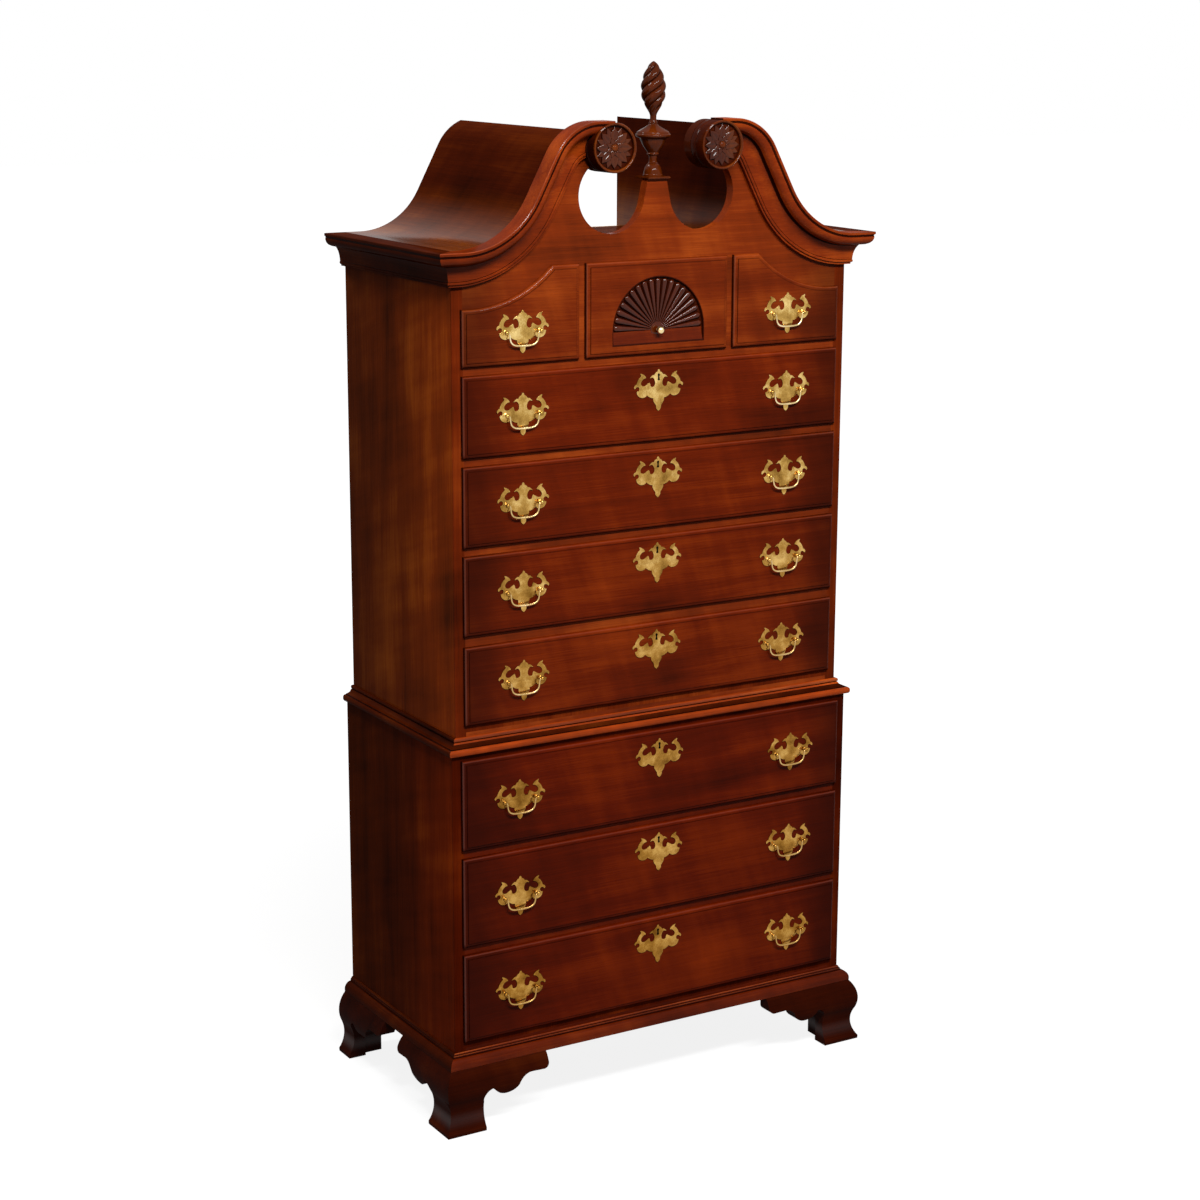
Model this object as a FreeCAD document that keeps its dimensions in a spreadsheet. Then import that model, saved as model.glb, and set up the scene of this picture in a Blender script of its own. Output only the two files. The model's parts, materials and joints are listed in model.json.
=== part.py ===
import FreeCAD, Part
import math
import os
import Sketcher

# Bonnet-top chest-on-chest in the Chippendale style.  Millimetres, +Z up, +X to the viewer's right,
# the drawers face -Y.  The origin is on the floor under the middle of the piece.

V = FreeCAD.Vector

# ---------------------------------------------------------------------------------------------
# Driving dimensions
# ---------------------------------------------------------------------------------------------

SIZES = [
    ("lower_width", 952.5, "lower case over its sides"),
    ("lower_depth", 483.5, "lower case, back plane to front rails"),
    ("waist_step_side", 16.05, "upper case inside the lower case's side"),
    ("waist_step_front", 15.5, "upper case behind the lower case's front"),
    ("case_side", 24.0, "thickness of the case sides"),
    ("case_floor", 18.0, "thickness of the board under the bottom drawer of each case"),
    ("back_board", 10.0, "thickness of the back boards"),
    ("foot_height", 136.5, "floor to the underside of the base moulding"),
    ("foot_inset", 3.0, "how far the foot brackets reach in under the case sides"),
    ("toe_projection", 36.5, "toe of the foot beyond the case"),
    ("toe_height", 7.0, "height of the toe's tip"),
    ("ankle_radius", 60.0, "radius of the foot's hollow ankle"),
    ("hollow_end", 28.5, "projection where the hollow meets the knee"),
    ("hollow_height", 68.0, "height where the hollow meets the knee"),
    ("knee_radius", 60.0, "radius of the foot's full knee"),
    ("foot_top_projection", 19.0, "foot at the underside of the base moulding"),
    ("shank_width", 52.0, "width of the foot's shank beyond the case corner line"),
    ("bracket_length", 201.0, "length of each foot bracket from the case corner"),
    ("corner_block", 40.0, "square glue block inside each foot"),
    ("rear_bracket_board", 18.0, "thickness of the plain board across the back of a rear foot"),
    ("rear_bracket_length", 190.0, "length of that board"),
    ("rear_bracket_drop", 20.0, "height of its lower edge above the floor"),
    ("lower_base", 54.5, "foot top to the bottom drawer's opening"),
    ("lower_opening", 178.0, "height of each drawer opening in the lower case"),
    ("lower_rail", 26.2, "rail between two drawers of the lower case"),
    ("lower_cap", 16.0, "thickness of the lower case's top board"),
    ("upper_base", 59.1, "lower case top to the first opening of the upper case"),
    ("upper_opening", 151.0, "height of each long drawer's opening in the upper case"),
    ("upper_first_rail", 31.0, "rail above the bottom drawer of the upper case"),
    ("upper_rail", 26.0, "the other rails of the upper case"),
    ("row_opening", 178.0, "height of the fan drawer's opening"),
    ("divider", 24.0, "thickness of the upright dividers in the top row"),
    ("fan_opening", 322.0, "width of the fan drawer's opening"),
    ("rail_depth", 60.0, "front to back width of the rails"),
    ("runner_width", 45.0, "width of the drawer runners"),
    ("runner_height", 18.0, "thickness of the drawer runners"),
    ("deck_gap", 8.0, "space between the top row's openings and the top board"),
    ("deck", 20.0, "thickness of the upper case's top board"),
    ("lip_overlap", 5.0, "how far a drawer lip covers the frame round its opening"),
    ("lip_plate", 9.0, "thickness of the drawer lip"),
    ("lip_round", 7.0, "radius of the thumbnail edge"),
    ("lip_margin", 9.0, "lip edge to the raised field"),
    ("field_step", 1.5, "height of the raised field over the thumbnail edge"),
    ("front_block", 20.0, "part of a drawer front inside its opening"),
    ("drawer_play", 1.5, "clearance of a drawer in its opening, each side"),
    ("drawer_side", 12.0, "thickness of drawer sides and backs"),
    ("drawer_floor", 8.0, "thickness of drawer bottoms"),
    ("floor_lift", 6.0, "drawer bottom above the lower edge of the drawer sides"),
    ("box_relief", 10.0, "drawer sides lower than their opening"),
    ("drawer_stop", 10.0, "space behind a closed drawer"),
    ("arch_side", 112.0, "lip height of a small drawer at its low end"),
    ("arch_level_top", 61.92, "level stretch of a small drawer's top edge, at its high end"),
    ("arch_level_end", 16.0, "level stretch at the low end of that edge"),
    ("fan_radius", 106.0, "radius of the carved fan"),
    ("fan_rise", 48.0, "fan centre above the lip's lower edge"),
    ("fan_depth", 6.0, "depth of the fan's recess"),
    ("fan_base", 26.0, "height of the plain hollow under the fan"),
    ("base_height", 30.5, "height of the base moulding"),
    ("base_projection", 20.1, "projection of the base moulding"),
    ("waist_height", 32.6, "height of the waist moulding"),
    ("waist_nose", 9.0, "waist moulding beyond the lower case"),
    ("crown_height", 68.0, "height of the crown moulding"),
    ("crown_projection", 45.6, "projection of the crown moulding"),
    ("cornice_rise", 41.2, "top row's openings to the top of the side cornice"),
    ("pediment_board", 22.0, "thickness of the pediment board"),
    ("scroll_rise", 237.3, "top of the swan necks above the side cornice"),
    ("scroll_tilt", 62.0, "slope of the straight part of the swan necks, degrees"),
    ("crown_level_end", 5.98, "level end of the crown's top edge, inside the case's side"),
    ("scroll_radius", 110.0, "radius of the round part of the crown's top edge"),
    ("scroll_centre", 155.0, "middle of the piece to the centre of the round part"),
    ("roof_drop", 11.0, "roof below the top edge of the crown, square to it"),
    ("roof_level_end", 35.26, "level end of the roof, inside the case's side"),
    ("roof_board", 10.0, "thickness of the bonnet's boards"),
    ("bonnet_gap", 380.0, "open width between the two halves of the bonnet"),
    ("tympanum_radius", 75.0, "radius of the two round openings in the pediment"),
    ("tympanum_centre", 104.5, "middle of the piece to the centre of such an opening"),
    ("tympanum_rise", 92.3, "side cornice to the centre of such an opening"),
    ("neck_slope", 12.0, "lean of the plinth's sides, degrees"),
    ("neck_rise", 121.3, "side cornice to the top of the plinth"),
    ("rosette_radius", 48.2, "radius of the rosettes"),
    ("rosette_centre", 124.0, "middle of the piece to a rosette's centre"),
    ("rosette_rise", 186.0, "side cornice to a rosette's centre"),
    ("rosette_reach", 47.5, "rosette face in front of the pediment board"),
    ("rosette_rim", 4.5, "width of the rosette's rim"),
    ("rosette_dish", 5.5, "depth of the hollow inside the rosette's rim"),
    ("rosette_button", 1.0, "rosette's middle button behind its face"),
    ("rosette_middle", 7.0, "radius of that button"),
    ("cap_width", 52.0, "square cap on the plinth"),
    ("cap_height", 4.0, "thickness of that cap"),
    ("cap_setback", 17.0, "front of the pediment board to the middle of the finial"),
    ("finial_height", 223.0, "height of the turned finial"),
    ("finial_radius", 34.5, "radius of its urn's rim"),
    ("pull_inset_lower", 127.25, "end of a lower drawer's front to the middle of its pull"),
    ("pull_inset_upper", 130.2, "end of an upper drawer's front to the middle of its pull"),
    ("pull_rise_lower", 92.0, "pull posts above the lower edge of a lower lip"),
    ("pull_rise_upper", 80.0, "pull posts above the lower edge of an upper lip"),
    ("pull_rise_small", 64.0, "pull posts above the lower edge of a small drawer's lip"),
    ("key_rise_lower", 171.0, "top of the escutcheon above the lower edge of a lower lip"),
    ("key_rise_upper", 146.5, "top of the escutcheon above the lower edge of an upper lip"),
    ("plate_width", 115.7, "width of the brass plates"),
    ("plate_height", 84.3, "height of the brass plates"),
    ("plate_thickness", 1.6, "thickness of the brass plates"),
    ("post_spacing", 76.2, "distance between the two posts of a pull"),
    ("post_radius", 3.4, "radius of a post"),
    ("post_reach", 8.0, "bail's axis in front of the drawer face"),
    ("post_head", 3.4, "post beyond the bail's axis"),
    ("bail_wire", 1.8, "radius of the bail"),
    ("bail_play", 0.06, "clearance of the bail's ends in the posts"),
    ("bail_grip", 4.2, "depth of the hole for the bail's end"),
    ("bail_end_play", 0.5, "space past the bail's end"),
    ("bail_drop", 26.5, "bail's axis to its lowest point, centre line"),
    ("bail_half", 31.6, "middle of a pull to the bail's upright, centre line"),
    ("knob_radius", 8.0, "radius of the brass knob"),
    ("knob_reach", 20.0, "knob's tip in front of the drawer face"),
    ("past", 5.0, "how far a cut runs past the piece that it trims"),
]

doc = FreeCAD.newDocument("chest_on_chest")
sheet = doc.addObject("Spreadsheet::Sheet", "Sizes")
for row, (alias, value, meaning) in enumerate(SIZES, start=1):
    sheet.set(f"A{row}", meaning)
    sheet.set(f"B{row}", str(value))
    sheet.setAlias(f"B{row}", alias)
doc.recompute()


class Size:
    """A length that carries its value and the spreadsheet expression it comes from."""

    def __init__(self, value, text):
        self.value = float(value)
        self.text = text

    def __add__(self, other):
        other = size(other)
        return Size(self.value + other.value, f"({self.text} + {other.text})")

    def __sub__(self, other):
        other = size(other)
        return Size(self.value - other.value, f"({self.text} - {other.text})")

    def __mul__(self, other):
        other = size(other)
        return Size(self.value * other.value, f"({self.text} * {other.text})")

    def __truediv__(self, other):
        other = size(other)
        return Size(self.value / other.value, f"({self.text} / {other.text})")

    def __radd__(self, other):
        return size(other) + self

    def __rsub__(self, other):
        return size(other) - self

    def __rmul__(self, other):
        return size(other) * self

    def __neg__(self):
        return Size(-self.value, f"(0 - {self.text})")


def size(number):
    return number if isinstance(number, Size) else Size(number, repr(float(number)))


def root(number):
    return Size(math.sqrt(number.value), f"sqrt({number.text})")


def sine(degrees):
    return Size(math.sin(math.radians(degrees.value)), f"sin({degrees.text})")


def cosine(degrees):
    return Size(math.cos(math.radians(degrees.value)), f"cos({degrees.text})")


class Sheet:
    """The driving dimensions by name."""


d = Sheet()
for alias, value, meaning in SIZES:
    setattr(d, alias, Size(sheet.get(alias), f"Sizes.{alias}"))


# ---------------------------------------------------------------------------------------------
# Building blocks
# ---------------------------------------------------------------------------------------------

PLANES = {"XY": "XY_Plane", "XZ": "XZ_Plane", "YZ": "YZ_Plane"}
nodes = {}


def bind(thing, **expressions):
    """Binds properties such as Placement_Base_x to sizes."""
    for name, length in expressions.items():
        thing.setExpression(name.replace("_", "."), size(length).text)
    return thing


def place(thing, x=0, y=0, z=0):
    return bind(thing, Placement_Base_x=x, Placement_Base_y=y, Placement_Base_z=z)


def box(name, x, y, z):
    """A board between two places along each axis."""
    board = doc.addObject("Part::Box", name)
    bind(board, Length=size(x[1]) - x[0], Width=size(y[1]) - y[0], Height=size(z[1]) - z[0])
    return place(board, x[0], y[0], z[0])


def group(name, pieces):
    whole = doc.addObject("Part::Compound", name)
    whole.Links = pieces
    return whole


def cut(name, base, tool):
    result = doc.addObject("Part::Cut", name)
    result.Base = base
    result.Tool = tool
    return result


def fuse(name, pieces):
    result = doc.addObject("Part::MultiFuse", name)
    result.Shapes = pieces
    result.Refine = True
    return result


def mirror(name, piece, normal=V(1, 0, 0)):
    twin = doc.addObject("Part::Mirroring", name)
    twin.Source = piece
    twin.Normal = normal
    return twin


def copy_at(name, piece, x=0, y=0, z=0):
    return place(group(name, [piece]), x, y, z)


def node(name, thing):
    thing.Label = name
    nodes[name] = thing
    return thing


def body(name):
    return doc.addObject("PartDesign::Body", name)


def sketch(owner, name, plane, offset=0, shift=0, rise=0):
    """A sketch on one of its body's own planes.  XZ looks along +Y and its offset runs towards -Y."""
    drawing = owner.newObject("Sketcher::SketchObject", name)
    role = PLANES[plane]
    support = [feature for feature in owner.Origin.OriginFeatures if feature.Role == role][0]
    drawing.AttachmentSupport = [(support, "")]
    drawing.MapMode = "FlatFace"
    bind(drawing, AttachmentOffset_Base_x=shift, AttachmentOffset_Base_y=rise,
         AttachmentOffset_Base_z=offset)
    return drawing


def arc_between(start, end, radius):
    """The shorter arc from start to end; it turns left for a positive radius, right for a negative."""
    chord = end - start
    reach = abs(radius)
    height = math.sqrt(max(reach * reach - chord.Length ** 2 / 4, 0))
    left = V(-chord.y, chord.x, 0).normalize()
    centre = (start + end) * 0.5 + left * (height if radius > 0 else -height)
    first, last = (start, end) if radius > 0 else (end, start)
    begin = math.atan2(first.y - centre.y, first.x - centre.x)
    finish = math.atan2(last.y - centre.y, last.x - centre.x)
    if finish < begin:
        finish += 2 * math.pi
    return Part.ArcOfCircle(Part.Circle(centre, V(0, 0, 1), reach), begin, finish)


def trace(drawing, corners, closed=True):
    """Draws lines and arcs through corners.  A corner is (across, up), or (across, up, radius) where
    the stretch that leads to it is an arc.  Every corner and radius is bound to the sizes."""
    places = [V(size(c[0]).value, size(c[1]).value, 0) for c in corners]
    radii = [size(c[2]) if len(c) > 2 else None for c in corners]
    steps = list(range(1, len(corners))) + ([0] if closed else [])
    ends = []
    for step in steps:
        start, end, radius = places[step - 1], places[step], radii[step]
        if radius is None:
            index = drawing.addGeometry(Part.LineSegment(start, end), False)
        else:
            index = drawing.addGeometry(arc_between(start, end, radius.value), False)
            limit = drawing.addConstraint(Sketcher.Constraint("Radius", index, abs(radius.value)))
            drawing.setExpression(f"Constraints[{limit}]", f"abs({radius.text})")
        turned = radius is not None and radius.value < 0
        ends.append((index, 2, 1) if turned else (index, 1, 2))
    for before, after in zip(ends, ends[1:] + (ends[:1] if closed else [])):
        drawing.addConstraint(Sketcher.Constraint("Coincident", before[0], before[2], after[0], after[1]))
    fixed = [(ends[i][0], ends[i][2], corners[step]) for i, step in enumerate(steps)]
    if not closed:
        fixed.append((ends[0][0], ends[0][1], corners[0]))
    for index, end, corner in fixed:
        for kind, along in (("DistanceX", size(corner[0])), ("DistanceY", size(corner[1]))):
            hold = drawing.addConstraint(Sketcher.Constraint(kind, -1, 1, index, end, along.value))
            drawing.setExpression(f"Constraints[{hold}]", along.text)
    return drawing


def bowed(outline):
    """Gives each arc of an outline its radius.  Such a corner's third value is the radius over the
    arc's chord."""
    corners = []
    for before, corner in zip(outline[-1:] + outline, outline):
        if len(corner) > 2:
            run, rise = size(corner[0]) - before[0], size(corner[1]) - before[1]
            corner = corner[:2] + (root(run * run + rise * rise) * corner[2],)
        corners.append(corner)
    return corners


def within(wide, high, outline):
    """An outline whose corners are given as shares of a width and a height."""
    return bowed([(wide * corner[0], high * corner[1]) + tuple(corner[2:]) for corner in outline])


def regular(drawing, count, radius):
    """A many-sided outline round the sketch's origin."""
    turns = [math.radians(360 * corner / count) for corner in range(count)]
    return trace(drawing, [(radius * math.cos(turn), radius * math.sin(turn)) for turn in turns])


def circle(drawing, across, up, radius):
    across, up, radius = size(across), size(up), size(radius)
    ring = Part.Circle(V(across.value, up.value, 0), V(0, 0, 1), radius.value)
    index = drawing.addGeometry(ring, False)
    for kind, along in (("DistanceX", across), ("DistanceY", up)):
        hold = drawing.addConstraint(Sketcher.Constraint(kind, -1, 1, index, 3, along.value))
        drawing.setExpression(f"Constraints[{hold}]", along.text)
    hold = drawing.addConstraint(Sketcher.Constraint("Radius", index, radius.value))
    drawing.setExpression(f"Constraints[{hold}]", radius.text)
    return drawing


def pad(owner, drawing, length, backwards=False):
    feature = owner.newObject("PartDesign::Pad", drawing.Name + "_pad")
    feature.Profile = drawing
    feature.Reversed = backwards
    return bind(feature, Length=length)


def pocket(owner, drawing, length, backwards=False):
    feature = owner.newObject("PartDesign::Pocket", drawing.Name + "_pocket")
    feature.Profile = drawing
    feature.Reversed = backwards
    return bind(feature, Length=length)


def run_along(owner, profile, path, edges):
    """Sweeps a profile along a path, mitred where the path turns a sharp corner."""
    feature = owner.newObject("PartDesign::AdditivePipe", profile.Name + "_run")
    feature.Profile = profile
    feature.Spine = (path, [f"Edge{number}" for number in range(1, edges + 1)])
    feature.Mode = "Standard"
    feature.Transition = "Right corner"
    return feature


def turn(owner, drawing, axis):
    feature = owner.newObject("PartDesign::Revolution", drawing.Name + "_turned")
    feature.Profile = drawing
    feature.ReferenceAxis = (drawing, [axis])
    feature.Angle = 360
    return feature


def both_sides(half):
    """Completes an outline drawn round the right half.  Corners on the middle line aren't repeated."""
    left = []
    for here, ahead in zip(half, half[1:] + [()]):
        if size(here[0]).value != 0:
            left.append((-size(here[0]), here[1]) + tuple(ahead[2:]))
    return half + left[::-1]


# ---------------------------------------------------------------------------------------------
# Main planes and levels
# ---------------------------------------------------------------------------------------------

BACK = (d.lower_depth + d.toe_projection) / 2
LOWER_FRONT = BACK - d.lower_depth
UPPER_FRONT = LOWER_FRONT + d.waist_step_front
UPPER_DEPTH = d.lower_depth - d.waist_step_front
LOWER_HALF = d.lower_width / 2
UPPER_HALF = LOWER_HALF - d.waist_step_side
LOWER_INNER = LOWER_HALF - d.case_side
UPPER_INNER = UPPER_HALF - d.case_side
PROUD = d.lip_plate + d.field_step

lower_levels = [d.foot_height + d.lower_base]
for step in range(2):
    lower_levels.append(lower_levels[-1] + d.lower_opening + d.lower_rail)
LOWER_TOP = lower_levels[-1] + d.lower_opening + d.lower_cap

upper_levels = [LOWER_TOP + d.upper_base]
upper_levels.append(upper_levels[-1] + d.upper_opening + d.upper_first_rail)
for step in range(3):
    upper_levels.append(upper_levels[-1] + d.upper_opening + d.upper_rail)
ROW_FLOOR = upper_levels[-1]
ROW_TOP = ROW_FLOOR + d.row_opening
DECK_TOP = ROW_TOP + d.deck_gap + d.deck
CORNICE_TOP = ROW_TOP + d.cornice_rise
ROOF_UNDER = CORNICE_TOP - d.roof_board
FAN_SIDE = d.fan_opening / 2
SMALL_INNER = FAN_SIDE + d.divider
BACK_INNER = BACK - d.back_board


# ---------------------------------------------------------------------------------------------
# Feet
# ---------------------------------------------------------------------------------------------

def ogee(across):
    """Section of a foot: hollow ankle below, full knee above.  across is the case face."""
    face = [(-d.foot_inset, 0), (d.toe_projection - 0.5, 0), (d.toe_projection, d.toe_height),
            (d.hollow_end, d.hollow_height, -d.ankle_radius),
            (d.foot_top_projection, d.foot_height, d.knee_radius), (-d.foot_inset, d.foot_height)]
    return [(across - size(c[0]), c[1]) + ((-size(c[2]),) if len(c) > 2 else ()) for c in face]


def scallop(corner, flip):
    """The space under a bracket's scrolled lower edge, from the shank to past the bracket's end."""
    long, low, high = d.bracket_length, d.shank_width, d.foot_height
    span = long - low
    edge = bowed([(low, -d.past), (low, high * 0.44), (low + span * 0.134, high * 0.645, -0.64),
                  (low + span * 0.53, high * 0.608, 0.575), (low + span * 0.718, high * 0.769, -0.842),
                  (low + span * 0.92, high * 0.762), (long, high * 0.864, 0.705), (long, high + d.past),
                  (long + d.past, high + d.past), (long + d.past, -d.past)])
    return [(corner + size(c[0]) * flip, c[1]) + ((size(c[2]) * flip,) if len(c) > 2 else ())
            for c in edge]


def front_foot():
    """Left front foot: two ogee brackets mitred at the corner, with a glue block behind."""
    clear = d.toe_projection * 1.5
    brackets = body("front_brackets")
    path = sketch(brackets, "front_foot_path", "XY")
    trace(path, [(-LOWER_HALF, LOWER_FRONT + d.bracket_length), (-LOWER_HALF, LOWER_FRONT),
                 (-LOWER_HALF + d.bracket_length, LOWER_FRONT)], closed=False)
    profile = sketch(brackets, "front_foot_section", "XZ", offset=-(LOWER_FRONT + d.bracket_length))
    trace(profile, ogee(-LOWER_HALF))
    run_along(brackets, profile, path, 2)
    under_front = sketch(brackets, "front_scallop", "XZ", offset=-LOWER_FRONT + clear)
    trace(under_front, scallop(-LOWER_HALF, 1))
    pocket(brackets, under_front, clear * 2)
    under_side = sketch(brackets, "side_scallop", "YZ", offset=-LOWER_HALF - clear)
    trace(under_side, scallop(LOWER_FRONT, 1))
    pocket(brackets, under_side, clear * 2, backwards=True)
    inner = -LOWER_HALF + d.foot_inset
    block = box("front_foot_block", (inner, inner + d.corner_block),
                (LOWER_FRONT + d.foot_inset, LOWER_FRONT + d.foot_inset + d.corner_block),
                (4, d.foot_height))
    return fuse("front_foot", [brackets, block])


def rear_foot():
    """Left rear foot: one ogee bracket on the side and a plain board across the back."""
    bracket = body("rear_bracket")
    profile = sketch(bracket, "rear_foot_section", "XZ", offset=-BACK)
    trace(profile, ogee(-LOWER_HALF))
    pad(bracket, profile, d.bracket_length)
    clear = d.toe_projection * 1.5
    under = sketch(bracket, "rear_scallop", "YZ", offset=-LOWER_HALF - clear)
    trace(under, scallop(BACK, -1))
    pocket(bracket, under, clear * 2, backwards=True)
    plain = body("rear_board")
    inner = -LOWER_HALF + d.foot_inset
    outline = sketch(plain, "rear_board_outline", "XZ", offset=-BACK)
    far = inner + d.rear_bracket_length
    trace(outline, [(inner, d.rear_bracket_drop), (inner + d.shank_width, d.rear_bracket_drop),
                    (far, d.foot_height * 0.72), (far, d.foot_height), (inner, d.foot_height)])
    pad(plain, outline, d.rear_bracket_board)
    block = box("rear_foot_block", (inner, inner + d.corner_block),
                (BACK - d.rear_bracket_board - d.corner_block + 10, BACK - d.rear_bracket_board),
                (4, d.foot_height))
    return fuse("rear_foot", [bracket, plain, block])


front_left = front_foot()
rear_left = rear_foot()
node("feet", group("all_feet", [front_left, mirror("front_right_foot", front_left),
                                rear_left, mirror("rear_right_foot", rear_left)]))


# ---------------------------------------------------------------------------------------------
# Cases
# ---------------------------------------------------------------------------------------------

def case(name, half, inner, front, bottom, floor_top, lid_bottom, lid_top, side_top, lid_front):
    """Two sides with a floor board and a top board between them."""
    floor_bottom = floor_top - d.case_floor
    boards = [box(name + "_left", (-half, -inner), (front, BACK), (bottom, side_top)),
              box(name + "_right", (inner, half), (front, BACK), (bottom, side_top)),
              box(name + "_floor", (-inner, inner), (front, BACK_INNER), (floor_bottom, floor_top)),
              box(name + "_lid", (-inner, inner), (lid_front, BACK_INNER), (lid_bottom, lid_top))]
    return node(name, group(name + "_boards", boards))


def shelf(name, inner, front, level, thickness):
    """A front rail with a runner along each side behind it."""
    rail = box(name + "_rail", (-inner, inner), (front, front + d.rail_depth), (level - thickness, level))
    behind = (front + d.rail_depth, BACK_INNER)
    height = (level - d.runner_height, level)
    left = box(name + "_runner_left", (-inner, -inner + d.runner_width), behind, height)
    right = box(name + "_runner_right", (inner - d.runner_width, inner), behind, height)
    return [rail, left, right]


case("lower_case", LOWER_HALF, LOWER_INNER, LOWER_FRONT, d.foot_height, lower_levels[0],
     LOWER_TOP - d.lower_cap, LOWER_TOP, LOWER_TOP, LOWER_FRONT)
case("upper_case", UPPER_HALF, UPPER_INNER, UPPER_FRONT, LOWER_TOP, upper_levels[0],
     ROW_TOP + d.deck_gap, DECK_TOP, ROOF_UNDER, UPPER_FRONT + d.pediment_board)

lower_shelves = [box("lower_base_rail", (-LOWER_INNER, LOWER_INNER), (LOWER_FRONT, LOWER_FRONT + d.case_side),
                     (d.foot_height, lower_levels[0] - d.case_floor))]
for number, level in enumerate(lower_levels[1:], start=1):
    lower_shelves += shelf(f"lower_shelf_{number}", LOWER_INNER, LOWER_FRONT, level, d.lower_rail)
node("lower_drawer_frame", group("lower_shelves", lower_shelves))

upper_shelves = [box("upper_base_rail", (-UPPER_INNER, UPPER_INNER), (UPPER_FRONT, UPPER_FRONT + d.case_side),
                     (LOWER_TOP, upper_levels[0] - d.case_floor))]
upper_rails = [d.upper_first_rail, d.upper_rail, d.upper_rail, d.upper_rail]
for number, (level, thickness) in enumerate(zip(upper_levels[1:], upper_rails), start=1):
    upper_shelves += shelf(f"upper_shelf_{number}", UPPER_INNER, UPPER_FRONT, level, thickness)
BOARD_BACK = UPPER_FRONT + d.pediment_board
for side in (-1, 1):
    hand = "left" if side < 0 else "right"
    edges = (FAN_SIDE, SMALL_INNER) if side > 0 else (-SMALL_INNER, -FAN_SIDE)
    middle = (edges[0] + edges[1]) / 2
    upper_shelves += [
        box(f"divider_{hand}", edges, (UPPER_FRONT, BOARD_BACK), (ROW_FLOOR, ROW_TOP)),
        box(f"partition_{hand}", edges, (BOARD_BACK, BACK_INNER), (ROW_FLOOR, ROW_TOP + d.deck_gap)),
        box(f"partition_runner_{hand}", (middle - d.runner_width, middle + d.runner_width),
            (UPPER_FRONT + d.rail_depth, BACK_INNER), (ROW_FLOOR - d.runner_height, ROW_FLOOR))]
node("upper_drawer_frame", group("upper_shelves", upper_shelves))

node("lower_back_panel", box("lower_back", (-LOWER_INNER, LOWER_INNER), (BACK_INNER, BACK),
                             (lower_levels[0] - d.case_floor, LOWER_TOP)))
node("upper_back_panel", box("upper_back", (-UPPER_INNER, UPPER_INNER), (BACK_INNER, BACK),
                             (LOWER_TOP, DECK_TOP)))


# ---------------------------------------------------------------------------------------------
# Mouldings
# ---------------------------------------------------------------------------------------------

def wrapped(name, half, front, level, section):
    """A moulding that runs along the left side, the front and the right side of a case."""
    owner = body(name + "_run")
    path = sketch(owner, name + "_path", "XY", offset=level)
    trace(path, [(-half, BACK), (-half, front), (half, front), (half, BACK)], closed=False)
    profile = sketch(owner, name + "_section", "XZ", offset=-BACK)
    trace(profile, [(-half - size(c[0]), level + size(c[1])) + ((-size(c[2]),) if len(c) > 2 else ())
                    for c in section])
    run_along(owner, profile, path, 3)
    return node(name, owner)


BASE_SECTION = within(d.base_projection, d.base_height, [
    (0, 0), (1, 0), (1, 0.164), (0.398, 0.705, 0.929), (0.274, 0.738), (0.274, 0.852), (0.124, 1), (0, 1)])
wrapped("base_moulding", LOWER_HALF, LOWER_FRONT, d.foot_height, BASE_SECTION)

WAIST_REACH = d.waist_step_side + d.waist_nose
WAIST_SECTION = within(WAIST_REACH, d.waist_height, [
    (0, 0), (0.8, 0), (0.8, 0.43, 0.514), (0.72, 0.43), (0.24, 0.706, -0.931), (0.16, 0.736),
    (0.16, 1, 0.512), (0, 1)])
wrapped("waist_moulding", UPPER_HALF, UPPER_FRONT, LOWER_TOP, WAIST_SECTION)


def crown_section(wall, top):
    """Crown profile from its top edge down: fillet, a faceted ovolo, step, cove and bead."""
    face = within(d.crown_projection, d.crown_height, [
        (0, 0), (1, 0), (1, 0.088), (0.9, 0.23), (0.78, 0.338), (0.671, 0.382), (0.408, 0.426),
        (0.241, 0.853, -1.134), (0.241, 0.956), (0.175, 1), (0, 1)])
    return [(wall - size(c[0]), top - size(c[1])) + ((size(c[2]),) if len(c) > 2 else ()) for c in face]


class SwanLine:
    """The S-curve of the pediment: flat, hollow arc, straight slope and round arc, seen from the front.
    Distances are to the left of the middle.  The hollow's radius follows from the two ends."""

    def __init__(self, flat, top, start, round_over):
        over, share = sine(d.scroll_tilt), 1 - cosine(d.scroll_tilt)
        self.flat, self.top, self.start, self.round_over = flat, top, start, round_over
        self.high = (d.scroll_centre + round_over * over, top - round_over * share)
        run, rise = start - self.high[0], self.high[1] - flat
        self.hollow = (run * over - rise * cosine(d.scroll_tilt)) / share
        self.low = (start - self.hollow * over, flat + self.hollow * share)

    def height_on_round(self, across):
        """Height of the round arc at a distance from the middle."""
        reach = across - d.scroll_centre
        return self.top - self.round_over + root(self.round_over * self.round_over - reach * reach)


SCROLL_TOP = CORNICE_TOP + d.scroll_rise
ROOF_START = UPPER_HALF - d.roof_level_end
crown_line = SwanLine(CORNICE_TOP, SCROLL_TOP, UPPER_HALF - d.crown_level_end, d.scroll_radius)
roof_line = SwanLine(CORNICE_TOP, SCROLL_TOP - d.roof_drop, ROOF_START, d.scroll_radius - d.roof_drop)
under_line = SwanLine(ROOF_UNDER, SCROLL_TOP - d.roof_drop - d.roof_board, ROOF_START,
                      d.scroll_radius - d.roof_drop - d.roof_board)
ROSETTE_Z = CORNICE_TOP + d.rosette_rise
FACE_Y = UPPER_FRONT - d.rosette_reach


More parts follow.
